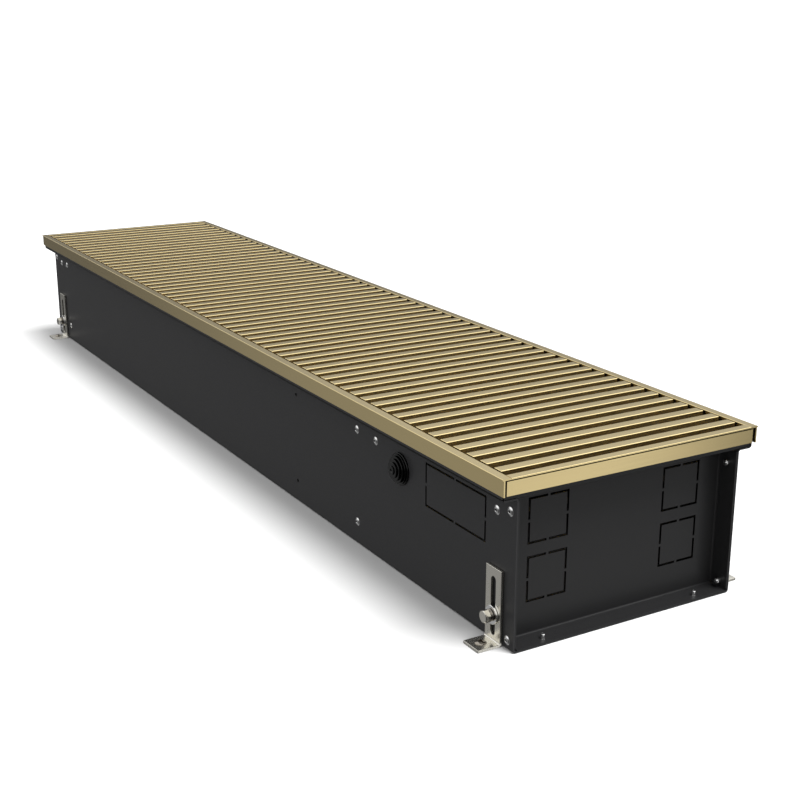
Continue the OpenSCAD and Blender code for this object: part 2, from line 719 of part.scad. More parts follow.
// Brass connector from a tube's end: solder socket, hexagon and collar with an inner thread
module connector(y) {
    hex_r = connector_hex / sqrt(3);
    color([0.78, 0.62, 0.3]) translate([near_x + sheet_t, y, tube_z]) rotate([0, 90, 0]) difference() {
        union() {
            cylinder(h = connector_l, r = tube_d / 2 + connector_wall, $fn = 48);
            translate([0, 0, connector_socket_l]) cylinder(h = connector_hex_l, r = hex_r, $fn = 6);
            translate([0, 0, connector_socket_l])
                cylinder(h = connector_l - connector_socket_l, r = connector_d / 2, $fn = 48);
        }
        translate([0, 0, -over]) cylinder(h = connector_l + over, r = tube_d / 2 - tube_wall, $fn = 32);
        translate([0, 0, -over])
            cylinder(h = connector_socket_l + over, r = tube_d / 2 + hole_play, $fn = 32);
        translate([0, 0, connector_l - connector_bore_l])
            cylinder(h = connector_bore_l + over, r = connector_bore_d / 2, $fn = 48);
    }
}
module connector_supply() { connector(tube_y); }
module connector_return() { connector(tube_y + tube_row_y); }

module vent_body() {
    pin_r = vent_pin_d / 2 + hole_play;
    top = tube_wall + vent_h;
    color([0.78, 0.62, 0.3]) translate([vent_x, tube_y + tube_row_y / 2, vent_z])
        rotate_extrude($fn = 32) polygon([
            [0, 0], [vent_stub_r, 0], [vent_stub_r, tube_wall], [vent_d / 2, tube_wall],
            [vent_d / 2, top - bar_r / 2], [vent_d / 2 - bar_r / 2, top], [pin_r, top],
            [pin_r, top - vent_pin_l - slide_gap], [0, top - vent_pin_l - slide_gap]]);
}
// Bleed screw: slotted head above, pin in the vent's bore
module vent_screw() {
    top = tube_wall + vent_h;
    color([0.82, 0.68, 0.38]) translate([vent_x, tube_y + tube_row_y / 2, vent_z]) difference() {
        union() {
            translate([0, 0, top - vent_pin_l])
                cylinder(h = vent_pin_l + slide_gap + vent_head_h / 4, r = vent_pin_d / 2, $fn = 24);
            translate([0, 0, top + slide_gap]) cylinder(h = vent_head_h, r = vent_screw_d / 2, $fn = 32);
        }
        translate([0, 0, top + slide_gap + vent_head_h])
            cube([vent_screw_d + over, vent_pin_d * 0.3, vent_head_h], center = true);
    }
}

// Scroll: sheet that runs down in front of the impellers, round under them and back under the exchanger
module fan_scroll() {
    floor_l = fan_y + scroll_rear_y - scroll_rear_r - fan_sheet;
    rear_l = scroll_rear_z - fan_z + scroll_out - scroll_rear_r - fan_sheet;
    color([0.62, 0.63, 0.64]) translate([span_x, 0, 0]) along_x(span_l)
        folded([[scroll_top_z - fan_z, 90, scroll_r], [floor_l, 90, scroll_rear_r], [rear_l, 0, 0]],
            fan_sheet, [-fan_y - scroll_out, scroll_top_z], -90);
}
// Tongue: sheet between impellers and exchanger
module fan_tongue() {
    top_l = fin_y - fin_w / 2 - slide_gap + tongue_y - tongue_bend - fan_sheet;
    down_l = tongue_top_z - tongue_low_z - 2 * (tongue_bend + fan_sheet);
    color([0.62, 0.63, 0.64]) translate([span_x, 0, 0]) along_x(span_l)
        folded([[top_l, 90, tongue_bend], [down_l, 90, tongue_bend], [tongue_bend, 0, 0]],
            fan_sheet, [fin_y - fin_w / 2 - slide_gap, tongue_top_z], 180);
}

// Children centred on the fan's shaft, with Z along it, from a distance along X
module on_shaft(x) { translate([x, -fan_y, fan_z]) rotate([0, 90, 0]) children(); }

module motor_plates() {
    plate_r = scroll_r - hole_play;
    color([0.62, 0.63, 0.64]) for (s = [-1, 1]) difference() {
        translate([span_x + s * (plate_off + fan_sheet / 2), -fan_y, fan_z]) along_x(fan_sheet) {
            circle(r = plate_r, $fn = 96);
            translate([-plate_r, 0]) square([2 * plate_r, scroll_top_z - fan_z - cable_d]);
        }
        on_shaft(span_x + s * plate_off - motor_gap)
            cylinder(h = 2 * motor_gap + fan_sheet, r = mount_ring_r, $fn = 48);
    }
}
module fan_motor() {
    rib_n = 12;
    color([0.12, 0.12, 0.13]) difference() {
        union() {
            on_shaft(span_x - motor_l / 2) rotate_extrude($fn = 64) polygon(concat([[0, 0]],
                arc([motor_d / 2 - bend_out, bend_out], bend_out, -90, 0, arc_n),
                arc([motor_d / 2 - bend_out, motor_l - bend_out], bend_out, 0, 90, arc_n),
                [[0, motor_l]]));
            on_shaft(span_x - plate_off - fan_sheet)
                cylinder(h = 2 * (plate_off + fan_sheet), r = motor_boss_r, $fn = 32);
            for (i = [0:rib_n - 1]) on_shaft(span_x) rotate([0, 0, i * 360 / rib_n])
                translate([motor_d / 2, 0, 0]) cube([fan_sheet * 2, fan_sheet, motor_l * 0.7], center = true);
            translate([span_x, -fan_y, fan_z]) cylinder(h = motor_d / 2 + motor_gap, r = cable_d, $fn = 32);
        }
        on_shaft(span_x) cylinder(h = 3 * motor_l, r = shaft_d / 2 + hole_play, center = true, $fn = 32);
    }
}
module motor_mounts() {
    color([0.08, 0.08, 0.08]) for (s = [-1, 1]) difference() {
        union() {
            on_shaft(span_x + s * (plate_off + fan_sheet / 2))
                cylinder(h = fan_sheet + motor_gap, r = mount_ring_r - hole_play, center = true, $fn = 48);
            on_shaft(span_x + s * (plate_off - motor_gap / 4))
                cylinder(h = motor_gap / 2, r = bearing_flange_d / 2, center = true, $fn = 48);
        }
        on_shaft(span_x + s * plate_off)
            cylinder(h = 4 * motor_gap, r = motor_boss_r + hole_play, center = true, $fn = 32);
    }
}
module fan_shaft() {
    color([0.7, 0.7, 0.72]) on_shaft(span_x)
        cylinder(h = span_l - 2 * motor_gap, r = shaft_d / 2, center = true, $fn = 32);
}

// Blade outline across the shaft: a thin curved strip from the ring's inner to its outer edge
module blade(a) {
    inner_r = impeller_d / 2 - blade_ring;
    outer_r = impeller_d / 2 - blade_t / 2;
    curl = 26;
    steps = 6;
    rings = [for (i = [0:steps]) inner_r + (outer_r - inner_r) * i / steps];
    turns = [for (i = [0:steps]) a + curl * pow(i / steps, 1.6)];
    half = [for (i = [0:steps]) blade_t / 2 / rings[i] * 180 / PI];
    polygon(concat(
        [for (i = [0:steps]) rings[i] * heading(turns[i] + half[i])],
        [for (i = [steps:-1:0]) rings[i] * heading(turns[i] - half[i])]));
}
// Cross-flow impeller from one end: blades through a row of discs, with a hub on both end discs
module impeller(l) {
    disc_n = ceil(l / segment_l) + 1;
    disc_step = (l - disc_t) / (disc_n - 1);
    difference() {
        union() {
            linear_extrude(height = l) for (i = [0:blade_n - 1]) blade(i * 360 / blade_n);
            for (i = [0:disc_n - 1]) translate([0, 0, i * disc_step]) difference() {
                cylinder(h = disc_t, r = impeller_d / 2, $fn = 64);
                if (i > 0 && i < disc_n - 1) translate([0, 0, -over])
                    cylinder(h = disc_t + 2 * over, r = impeller_d / 2 - blade_ring - disc_t, $fn = 64);
            }
            for (i = [0, 1]) translate([0, 0, i * (l - hub_d / 2)])
                cylinder(h = hub_d / 2, r = hub_d / 2, $fn = 32);
        }
        translate([0, 0, -over]) cylinder(h = l + 2 * over, r = shaft_d / 2, $fn = 32);
    }
}
module impeller_near() {
    color([0.16, 0.16, 0.17]) on_shaft(span_x + impeller_start) impeller(impeller_l);
}
module impeller_far() {
    color([0.16, 0.16, 0.17]) on_shaft(span_x - impeller_start - impeller_l) impeller(impeller_l);
}

// Rubber-held plain bearing on a partition, from the partition's face inwards
module bearing() {
    difference() {
        union() {
            cylinder(h = bearing_flange_t, r = bearing_flange_d / 2, $fn = 48);
            cylinder(h = bearing_l, r = bearing_d / 2, $fn = 48);
        }
        translate([0, 0, -over]) cylinder(h = bearing_l + 2 * over, r = shaft_d / 2 + hole_play, $fn = 32);
    }
}
module bearing_near() { color([0.09, 0.09, 0.09]) on_shaft(near_x) mirror([0, 0, 1]) bearing(); }
module bearing_far() { color([0.09, 0.09, 0.09]) on_shaft(-far_x) bearing(); }

// Rectangle with rounded corners, centred
module rounded_plate(l, w, r) {
    polygon(concat(
        arc([l / 2 - r, w / 2 - r], r, 0, 90, arc_n), arc([-l / 2 + r, w / 2 - r], r, 90, 180, arc_n),
        arc([-l / 2 + r, -w / 2 + r], r, 180, 270, arc_n), arc([l / 2 - r, -w / 2 + r], r, 270, 360, arc_n)));
}
module at_box(z) { translate([box_x, -box_y, box_z + z]) children(); }
module box_corners() {
    for (sx = [-1, 1], sy = [-1, 1]) translate([sx * (box_l / 2 - boss_in), sy * (box_w / 2 - boss_in), 0])
        children();
}
module terminal_box() {
    color([0.23, 0.24, 0.25]) at_box(0) difference() {
        union() {
            difference() {
                linear_extrude(height = base_h) rounded_plate(box_l, box_w, box_r);
                translate([0, 0, box_wall]) linear_extrude(height = base_h)
                    rounded_plate(box_l - 2 * box_wall, box_w - 2 * box_wall, box_wall);
            }
            box_corners() cylinder(h = base_h, r = lid_screw_head_d / 2 + box_wall / 2, $fn = 32);
        }
        box_corners() translate([0, 0, box_wall])
            cylinder(h = base_h, r = lid_screw_d / 2 + hole_play, $fn = 24);
        for (s = [-1, 1]) translate([s * box_l / 2, -cable_y + box_y, base_h / 2])
            rotate([0, 90, 0]) cylinder(h = 3 * box_wall, r = gland_neck_r, center = true, $fn = 32);
    }
}
module terminal_lid() {
    color([0.27, 0.28, 0.29]) at_box(base_h) difference() {
        union() {
            linear_extrude(height = lid_t) rounded_plate(box_l, box_w, box_r);
            translate([0, 0, lid_t]) linear_extrude(height = box_wall / 2)
                rounded_plate(box_l * 0.7, box_w * 0.6, box_r);
        }
        box_corners() translate([0, 0, -over])
            cylinder(h = lid_t + 2 * over, r = lid_screw_d / 2 + hole_play, $fn = 24);
    }
}
module lid_screws() {
    color([0.8, 0.8, 0.81]) at_box(base_h) box_corners() difference() {
        union() {
            translate([0, 0, lid_t]) cylinder(h = lid_screw_d * 0.6, r = lid_screw_head_d / 2, $fn = 32);
            translate([0, 0, -base_h / 2]) cylinder(h = base_h / 2 + lid_t, r = lid_screw_d / 2, $fn = 24);
        }
        for (a = [0, 90]) rotate([0, 0, a]) translate([0, 0, lid_t + lid_screw_d * 0.6])
            cube([lid_screw_head_d * 0.6, lid_screw_d * 0.25, lid_screw_d * 0.6], center = true);
    }
}
// Six-way terminal block on the floor of the box
module terminal_block() {
    way = box_l * 0.08;
    ways = 6;
    block_h = base_h * 0.5;
    block_w = box_w * 0.4;
    color([0.86, 0.86, 0.83]) at_box(box_wall) difference() {
        translate([-ways * way / 2, -block_w / 2, 0]) cube([ways * way, block_w, block_h]);
        for (i = [0:ways - 1]) translate([(i - (ways - 1) / 2) * way, 0, 0]) {
            for (s = [-1, 1]) translate([0, s * block_w * 0.28, block_h * 0.3])
                cylinder(h = block_h, r = way * 0.3, $fn = 24);
            translate([0, 0, block_h * 0.35])
                rotate([90, 0, 0]) cylinder(h = block_w + over, r = way * 0.26, center = true, $fn = 24);
        }
        for (i = [1:ways - 1]) translate([(i - ways / 2) * way, 0, block_h])
            cube([way * 0.14, block_w + over, block_h * 0.5], center = true);
    }
}

// Glands of the terminal box along Z: one for the motor cable, one left empty for the supply cable
module gland() {
    difference() {
        union() {
            cylinder(h = gland_l * 0.45, r = gland_d / 2, $fn = 6);
            cylinder(h = gland_l, r = gland_d * 0.42, $fn = 32);
            translate([0, 0, -box_wall]) cylinder(h = box_wall, r = gland_neck_r - hole_play, $fn = 32);
        }
        translate([0, 0, -box_wall - over])
            cylinder(h = gland_l + box_wall + 2 * over, r = cable_d / 2 + hole_play, $fn = 24);
    }
}
module cable_glands() {
    color([0.1, 0.1, 0.1]) for (s = [-1, 1])
        translate([box_x + s * box_l / 2, -cable_y, cable_from_z]) rotate([0, s * 90, 0]) gland();
}
module cable_quarter() {
    translate([cable_bend, 0, 0]) rotate([90, 0, 0]) rotate([0, 0, 90]) rotate_extrude(angle = 90, $fn = 48)
        translate([cable_bend, 0]) circle(r = cable_d / 2, $fn = 24);
}
// A run along Z of straight lengths, each followed by a quarter bend turned about the run
module cable_run(steps, i = 0) {
    cylinder(h = steps[i][0], r = cable_d / 2, $fn = 24);
    if (i < len(steps) - 1) translate([0, 0, steps[i][0]]) rotate([0, 0, steps[i][1]]) {
        cable_quarter();
        translate([cable_bend, 0, cable_bend]) rotate([0, 90, 0]) cable_run(steps, i + 1);
    }
}
// Motor cable: out of the box, up, along the front wall, across and down to the motor
module motor_cable() {
    out_l = cable_from_x + box_wall - cable_rise_x - cable_bend;
    up_l = cable_z - cable_from_z - 2 * cable_bend;
    along_l = cable_rise_x - span_x - 2 * cable_bend;
    across_l = cable_y - fan_y - 2 * cable_bend;
    down_l = cable_z - cable_bend - fan_z - motor_d / 2 - motor_gap;
    color([0.07, 0.07, 0.07]) translate([cable_from_x + box_wall, -cable_y, cable_from_z])
        rotate([0, -90, 0])
            cable_run([[out_l, 0], [up_l, 180], [along_l, -90], [across_l, 90], [down_l, 0]]);
}

// Stepped rubber grommet along Z: flange on the wall, neck in it, rings growing narrower outwards
module cable_grommet() {
    neck_r = grommet_hole_r - hole_play;
    flange_t = grommet_out * 0.16;
    ring_h = (grommet_out - flange_t) / grommet_steps;
    wide = grommet_d * 0.42;
    narrow = grommet_d * 0.14;
    lip = ring_h * 0.28;
    ring_r = [for (i = [0:grommet_steps - 1]) wide + (narrow - wide) * i / (grommet_steps - 1)];
    color([0.05, 0.05, 0.05]) on_front(end_x - grommet_in, wall_y, grommet_z)
        rotate_extrude($fn = 48) polygon(concat(
            [[0, -sheet_t - flange_t * 0.6], [grommet_d * 0.46, -sheet_t - flange_t * 0.6],
            [grommet_d * 0.46, -sheet_t], [neck_r, -sheet_t], [neck_r, 0], [grommet_d / 2, 0],
            [grommet_d / 2, flange_t * 0.6], [grommet_d / 2 - flange_t * 0.4, flange_t]],
            [for (i = [0:grommet_steps - 1]) each [
                [ring_r[i], flange_t + ring_h * i], [ring_r[i], flange_t + ring_h * (i + 1) - lip],
                [ring_r[i] - lip, flange_t + ring_h * (i + 1)]]],
            [[0, grommet_out]]));
}

// Earthing stud on the trough's floor, with its nut and washer
module earth_stud() {
    stud_d = bolt_d * 0.83;
    color([0.78, 0.62, 0.3]) translate([end_x - service_ko_in, -wall_y / 2, sheet_t]) {
        cylinder(h = stud_d * 3, r = stud_d / 2, $fn = 24);
        cylinder(h = stud_d * 0.2, r = stud_d, $fn = 32);
        translate([0, 0, stud_d]) cylinder(h = stud_d * 0.8, r = stud_d * 0.92, $fn = 6);
        translate([0, 0, stud_d * 0.2]) cylinder(h = stud_d * 0.8, r = stud_d * 0.75, $fn = 32);
    }
}

// Levelling bracket at the front wall: slotted leg behind the bolt, foot turned outwards
module foot(x) {
    slot_r = foot_slot_w / 2;
    color([0.72, 0.72, 0.7]) difference() {
        translate([x, 0, 0]) along_x(foot_w)
            folded([[foot_reach - foot_bend - foot_t, 90, foot_bend], [foot_h - foot_bend - foot_t, 0, 0]],
                foot_t, [-foot_back_y - foot_reach, 0], 0);
        for (z = [foot_slot_z + slot_r, foot_slot_z + foot_slot_l - slot_r])
            on_front(x, foot_face_y, z) cylinder(h = 4 * foot_t, r = slot_r, center = true, $fn = 32);
        translate([x - slot_r, -foot_face_y - over, foot_slot_z + slot_r])
            cube([foot_slot_w, foot_t + 2 * over, foot_slot_l - foot_slot_w]);
        translate([x, -foot_back_y - foot_screw_out, -over])
            cylinder(h = foot_t + 2 * over, r = floor_screw_d / 2 + hole_play, $fn = 24);
    }
}
module foot_near_front() { foot(end_x - foot_in_near); }
module foot_near_rear() { mirror([0, 1, 0]) foot(end_x - foot_in_near); }
module foot_far_front() { foot(-end_x + foot_in_far); }
module foot_far_rear() { mirror([0, 1, 0]) foot(-end_x + foot_in_far); }

// Floor screw in a foot: rounded head with a cross recess, shank flush with the foot's underside
module foot_screw(x) {
    head_r = floor_screw_head_d / 2;
    dome_r = (head_r * head_r + floor_screw_head_h * floor_screw_head_h) / (2 * floor_screw_head_h);
    dome_a = asin(head_r / dome_r);
    color([0.8, 0.8, 0.81]) translate([x, -foot_back_y - foot_screw_out, foot_t]) difference() {
        rotate_extrude($fn = 32) polygon(concat(
            [[0, -foot_t], [floor_screw_d / 2, -foot_t], [floor_screw_d / 2, 0]],
            arc([0, floor_screw_head_h - dome_r], dome_r, 90 - dome_a, 90, 2 * arc_n)));
        for (a = [0, 90]) rotate([0, 0, a]) translate([0, 0, floor_screw_head_h])
            cube([floor_screw_head_d * 0.55, floor_screw_head_d * 0.12, floor_screw_head_h * 1.2],
                center = true);
    }
}
module foot_screw_near_front() { foot_screw(end_x - foot_in_near); }
module foot_screw_near_rear() { mirror([0, 1, 0]) foot_screw(end_x - foot_in_near); }
module foot_screw_far_front() { foot_screw(-end_x + foot_in_far); }
module foot_screw_far_rear() { mirror([0, 1, 0]) foot_screw(-end_x + foot_in_far); }

// Children at each of the four clamping bolts, Z outwards, zero at the foot's face
module at_bolts() {
    for (x = [end_x - foot_in_near, -end_x + foot_in_far])
        both_sides() on_front(x, foot_face_y, bolt_z) children();
}
module foot_washers() {
    color([0.78, 0.78, 0.78]) at_bolts() translate([0, 0, slide_gap]) difference() {
        cylinder(h = washer_t, r = washer_d / 2, $fn = 48);
        translate([0, 0, -over]) cylinder(h = washer_t + 2 * over, r = bolt_d / 2 + hole_play, $fn = 32);
    }
}
module lock_washers() {
    color([0.1, 0.1, 0.1]) at_bolts() translate([0, 0, slide_gap + washer_t]) difference() {
        cylinder(h = lock_t, r = lock_d / 2, $fn = 48);
        translate([0, 0, -over]) cylinder(h = lock_t + 2 * over, r = bolt_d / 2 + hole_play, $fn = 32);
    }
}
module foot_bolts() {
    head_z = slide_gap + washer_t + lock_t;
    shank_l = head_z + foot_face_y - wall_y + nut_l * 0.8;
    color([0.75, 0.75, 0.74]) at_bolts() {
        translate([0, 0, head_z]) cylinder(h = bolt_head_h, r = bolt_head_af / sqrt(3), $fn = 6);
        translate([0, 0, head_z - shank_l]) cylinder(h = shank_l, r = bolt_d / 2, $fn = 32);
    }
}
module rivet_nuts() {
    color([0.8, 0.8, 0.8]) at_bolts() translate([0, 0, wall_y - foot_face_y - nut_l]) difference() {
        cylinder(h = nut_l, r = nut_d / 2, $fn = 32);
        translate([0, 0, -over]) cylinder(h = nut_l + 2 * over, r = bolt_d / 2 + hole_play, $fn = 32);
    }
}

// Hollow grille bar with rounded top edges and two cross holes for the cores
module grille_bar() {
    low_r = bar_r * 0.4;
    difference() {
        along_y(2 * bar_half) difference() {
            polygon(concat(
                arc([bar_w / 2 - bar_r, bar_h - bar_r], bar_r, 0, 90, arc_n),
                arc([-bar_w / 2 + bar_r, bar_h - bar_r], bar_r, 90, 180, arc_n),
                arc([-bar_w / 2 + low_r, low_r], low_r, 180, 270, 2),
                arc([bar_w / 2 - low_r, low_r], low_r, 270, 360, 2)));
            translate([-bar_w / 2 + bar_wall, bar_wall]) square([bar_w - 2 * bar_wall, bar_h - 2 * bar_wall]);
        }
        for (s = [-1, 1]) translate([0, s * core_y, core_z - bar_z]) rotate([0, 90, 0])
            cylinder(h = bar_w + 2 * over, r = core_d / 2 + hole_play, center = true, $fn = 24);
    }
}
module grille_bars() {
    color([0.74, 0.68, 0.52]) for (i = [0:bar_n - 1])
        translate([bar_x0 + i * bar_pitch, 0, bar_z]) grille_bar();
}
module grille_cores() {
    run = (bar_n - 1) * bar_pitch + bar_w;
    head_l = core_d * 0.3;
    color([0.75, 0.75, 0.76]) for (s = [-1, 1])
        translate([bar_x0 - bar_w / 2, s * core_y, core_z]) rotate([0, 90, 0]) {
            translate([0, 0, -head_l]) cylinder(h = run + 2 * head_l, r = core_d / 2, $fn = 24);
            for (z = [-head_l - hole_play, run + hole_play])
                translate([0, 0, z]) cylinder(h = head_l, r = spacer_d / 2, $fn = 32);
        }
}
module grille_spacers() {
    gap = bar_pitch - bar_w - 2 * hole_play;
    color([0.12, 0.12, 0.12]) for (s = [-1, 1], i = [0:bar_n - 2])
        translate([bar_x0 + (i + 1 / 2) * bar_pitch, s * core_y, core_z]) rotate([0, 90, 0]) difference() {
            cylinder(h = gap, r = spacer_d / 2, center = true, $fn = 24);
            cylinder(h = gap + 2 * over, r = core_d / 2 + hole_play, center = true, $fn = 24);
        }
}

trough();
end_plate_near();
end_plate_far();
frame_front();
frame_rear();
frame_end_near();
frame_end_far();
seal_strips();
wall_rivets();
floor_rivets();
spreader_bars();
partition_near();
partition_far();
fin_pack();
exchanger_tubes();
return_bends();
crossover_bend();
connector_supply();
connector_return();
vent_body();
vent_screw();
fan_scroll();
fan_tongue();
motor_plates();
fan_motor();
motor_mounts();
fan_shaft();
impeller_near();
impeller_far();
bearing_near();
bearing_far();
terminal_box();
terminal_lid();
terminal_block();
lid_screws();
cable_glands();
cable_grommet();
motor_cable();
earth_stud();
foot_near_front();
foot_near_rear();
foot_far_front();
foot_far_rear();
foot_screw_near_front();
foot_screw_near_rear();
foot_screw_far_front();
foot_screw_far_rear();
foot_bolts();
foot_washers();
lock_washers();
rivet_nuts();
grille_bars();
grille_cores();
grille_spacers();
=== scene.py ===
import math

import bmesh
import bpy
import numpy as np
from mathutils import Matrix, Vector


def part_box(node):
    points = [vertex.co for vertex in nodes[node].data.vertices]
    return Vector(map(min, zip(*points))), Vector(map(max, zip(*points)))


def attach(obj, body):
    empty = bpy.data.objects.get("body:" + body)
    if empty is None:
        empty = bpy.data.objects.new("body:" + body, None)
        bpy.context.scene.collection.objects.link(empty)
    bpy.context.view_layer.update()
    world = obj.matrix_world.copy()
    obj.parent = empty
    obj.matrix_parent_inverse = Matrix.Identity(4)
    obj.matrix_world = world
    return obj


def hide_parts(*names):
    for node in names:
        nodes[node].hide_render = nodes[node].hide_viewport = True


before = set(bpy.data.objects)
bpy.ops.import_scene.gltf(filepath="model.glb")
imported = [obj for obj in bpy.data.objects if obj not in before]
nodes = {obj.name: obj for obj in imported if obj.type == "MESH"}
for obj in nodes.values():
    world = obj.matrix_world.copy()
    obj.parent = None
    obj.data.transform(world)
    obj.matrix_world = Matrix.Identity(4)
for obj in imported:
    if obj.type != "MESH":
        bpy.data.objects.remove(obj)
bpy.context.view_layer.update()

mm = 0.001
fullTurn = 2 * math.pi


# Shapes: every one is an array of points in millimetres and an array of four-cornered faces

def gridFaces(rows, columns, closeRows=False, closeColumns=True):
    # Faces of a grid of points: square (i, j) joins rows i and i + 1 with columns j and j + 1. Closed rows
    # or columns also join the last one to the first.
    i = np.arange(rows if closeRows else rows - 1)[:, None]
    j = np.arange(columns if closeColumns else columns - 1)[None, :]
    up, along = (i + 1) % rows * columns, (j + 1) % columns
    corners = np.broadcast_arrays(i * columns + j, i * columns + along, up + along, up + j)
    return np.stack(corners, -1).reshape(-1, 4)


def ringStack(rings, closeRows=False):
    # Skin over a stack of rings of points; a ring shrunk to one place closes the end there.
    rings = np.asarray(rings, float)
    return rings.reshape(-1, 3), gridFaces(len(rings), rings.shape[1], closeRows)


def lathe(profile, steps=32):
    # Turned shape: (r, z) goes to (r cos a, r sin a, z). Both may be one number or one for each angle, as
    # round a hexagon. A profile that starts off the axis is a closed loop.
    angle = np.linspace(0, fullTurn, steps, endpoint=False)
    rings = [np.stack([r * np.cos(angle), r * np.sin(angle), z + 0 * angle], -1) for r, z in profile]
    return ringStack(rings, closeRows=bool(profile[0][0] > 0))


def bandProfile(inner, outer, low, high, chamfer):
    # Section of a flat ring with its four edges cut at 45 degrees, as a closed loop of (r, z).
    c = chamfer
    return [(outer - c, low), (outer, low + c), (outer, high - c), (outer - c, high),
            (inner + c, high), (inner, high - c), (inner, low + c), (inner + c, low)]


def aim(shape, axis, place=(0, 0, 0), roll=0):
    # Rolls a shape about its Z axis, turns that axis to the one given and moves its zero point to the place.
    turn = Vector((0, 0, 1)).rotation_difference(Vector(axis)).to_matrix() @ Matrix.Rotation(roll, 3, "Z")
    return shape[0] @ np.array(turn).T + np.asarray(place, float), shape[1]


def join(shapes):
    # Shapes one after another: each one's faces count on from the points before it.
    starts = np.cumsum([0] + [len(points) for points, faces in shapes[:-1]])
    return (np.concatenate([points for points, faces in shapes]),
            np.concatenate([faces + start for (points, faces), start in zip(shapes, starts)]))


def repeat(shape, offsets):
    # The shape once at every offset.
    points, faces = shape
    offsets = np.asarray(offsets, float)
    many = points[None] + offsets[:, None]
    steps = np.arange(len(offsets))[:, None, None] * len(points)
    return many.reshape(-1, 3), (faces[None] + steps).reshape(-1, 4)


def sweep(path, radius, steps=20, bore=0.0):
    # Round tube along a path. Ring i stands square to the path, its axes carried on from ring i - 1 by the
    # least turn. A bore makes the wall go back inside, and without one the ends close to a point.
    path = np.asarray(path, float)
    tangent = np.gradient(path, axis=0)
    tangent /= np.linalg.norm(tangent, axis=1)[:, None]
    side = np.cross(tangent[0], (0.3, 0.5, 0.8))  # any direction that no path starts along
    sides = []
    for way in tangent:
        side = side - way * np.dot(side, way)
        side /= np.linalg.norm(side)
        sides.append(side)
    sides = np.array(sides)
    angle = np.linspace(0, fullTurn, steps, endpoint=False)[None, :, None]
    spread = np.cos(angle) * sides[:, None] + np.sin(angle) * np.cross(tangent, sides)[:, None]
    outer = path[:, None] + radius * spread
    if bore:
        return ringStack(np.concatenate([outer, (path[:, None] + bore * spread)[::-1]]), closeRows=True)
    caps = np.repeat(path[[0, -1], None], steps, 1)
    return ringStack(np.concatenate([caps[:1], outer, caps[1:]]))


def bendPath(corners, radius, steps=8):
    # Path through corners with round bends: at each corner the two legs are cut back by radius tan(t / 2)
    # and joined by a circle of that radius, where t is the turn there.
    corners = np.asarray(corners, float)
    path = [corners[0]]
    for before, corner, after in zip(corners[:-2], corners[1:-1], corners[2:]):
        into = (corner - before) / np.linalg.norm(corner - before)
        out = (after - corner) / np.linalg.norm(after - corner)
        turn = math.acos(float(np.clip(np.dot(into, out), -1, 1)))
        start = corner - into * radius * math.tan(turn / 2)
        inward = (out - into * math.cos(turn)) / math.sin(turn)
        angle = np.linspace(0, turn, steps + 1)[:, None]
        path.extend(start + radius * (np.sin(angle) * into + (1 - np.cos(angle)) * inward))
    path.append(corners[-1])
    return np.array(path)


def solidBoxes(name):
    # Lowest and highest corners, in millimetres, of each separate solid of a carried part. Points that
    # share a triangle take the lowest label among them until no label changes; one label is then one solid.
    mesh = nodes[name].data
    places = np.empty(len(mesh.vertices) * 3, np.float32)
    mesh.vertices.foreach_get("co", places)
    corners = np.empty(len(mesh.polygons) * 3, np.int32)
    mesh.polygons.foreach_get("vertices", corners)
    spots, index = np.unique(np.round(places.reshape(-1, 3) / mm, 3), axis=0, return_inverse=True)
    triangles = index.reshape(-1)[corners].reshape(-1, 3)
    label = np.arange(len(spots))
    settled = False
    while not settled:
        lower = label.copy()
        np.minimum.at(lower, triangles, label[triangles].min(1)[:, None])
        lower = lower[lower]
        settled = bool((lower == label).all())
        label = lower
    groups = [spots[label == one] for one in np.unique(label)]
    return np.array([g.min(0) for g in groups]), np.array([g.max(0) for g in groups])


def partBox(name):
    # Corners of a carried part in millimetres.
    low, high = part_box(name)
    return np.array(low) / mm, np.array(high) / mm


def seatOf(low, high, x=None, y=None, z=None):
    # Middle of a box, with each coordinate that is given put in its place.
    return np.array([mid if own is None else own for mid, own in zip((low + high) / 2, (x, y, z))])


def wallShapes(name, make, roll=0.0):
    # One shape for each solid of a part that stands out of the two long walls, Z outwards. make takes the
    # solid's size and how far it starts and ends from the casing's middle, and gives a shape and its seat.
    shapes = []
    for low, high in zip(*solidBoxes(name)):
        side = math.copysign(1, (low + high)[1])
        shape, seat = make(high - low, *sorted((abs(low[1]), abs(high[1]))))
        shapes.append(aim(shape, (0, side, 0), seatOf(low, high, y=side * seat), roll))
    return join(shapes)


def makePiece(name, shape, material, body, replaced=(), sharp=35, bevel=0.0):
    # Turns a shape into an object: doubles merged, faces outwards, edges over the sharp angle kept sharp,
    # large faces kept flat by weighted normals, and a bevel in millimetres where one is asked for.
    mesh = bpy.data.meshes.new(name)
    mesh.from_pydata(shape[0] * mm, [], shape[1].tolist())
    work = bmesh.new()
    work.from_mesh(mesh)
    bmesh.ops.remove_doubles(work, verts=work.verts, dist=1e-6)
    bmesh.ops.recalc_face_normals(work, faces=work.faces)
    work.to_mesh(mesh)
    work.free()
    mesh.polygons.foreach_set("use_smooth", np.ones(len(mesh.polygons), bool))
    mesh.set_sharp_from_angle(angle=math.radians(sharp))
    mesh.materials.append(material)
    piece = bpy.data.objects.new(name, mesh)
    bpy.context.scene.collection.objects.link(piece)
    if bevel:
        soft = piece.modifiers.new("edge", "BEVEL")
        soft.width, soft.segments, soft.limit_method = bevel * mm, 2, "ANGLE"
        soft.angle_limit = math.radians(sharp)
        soft.harden_normals = False
    weigh = piece.modifiers.new("flats", "WEIGHTED_NORMAL")
    weigh.keep_sharp = not bevel
    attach(piece, body)
    if replaced:
        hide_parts(*replaced)
    return piece


# Finishes

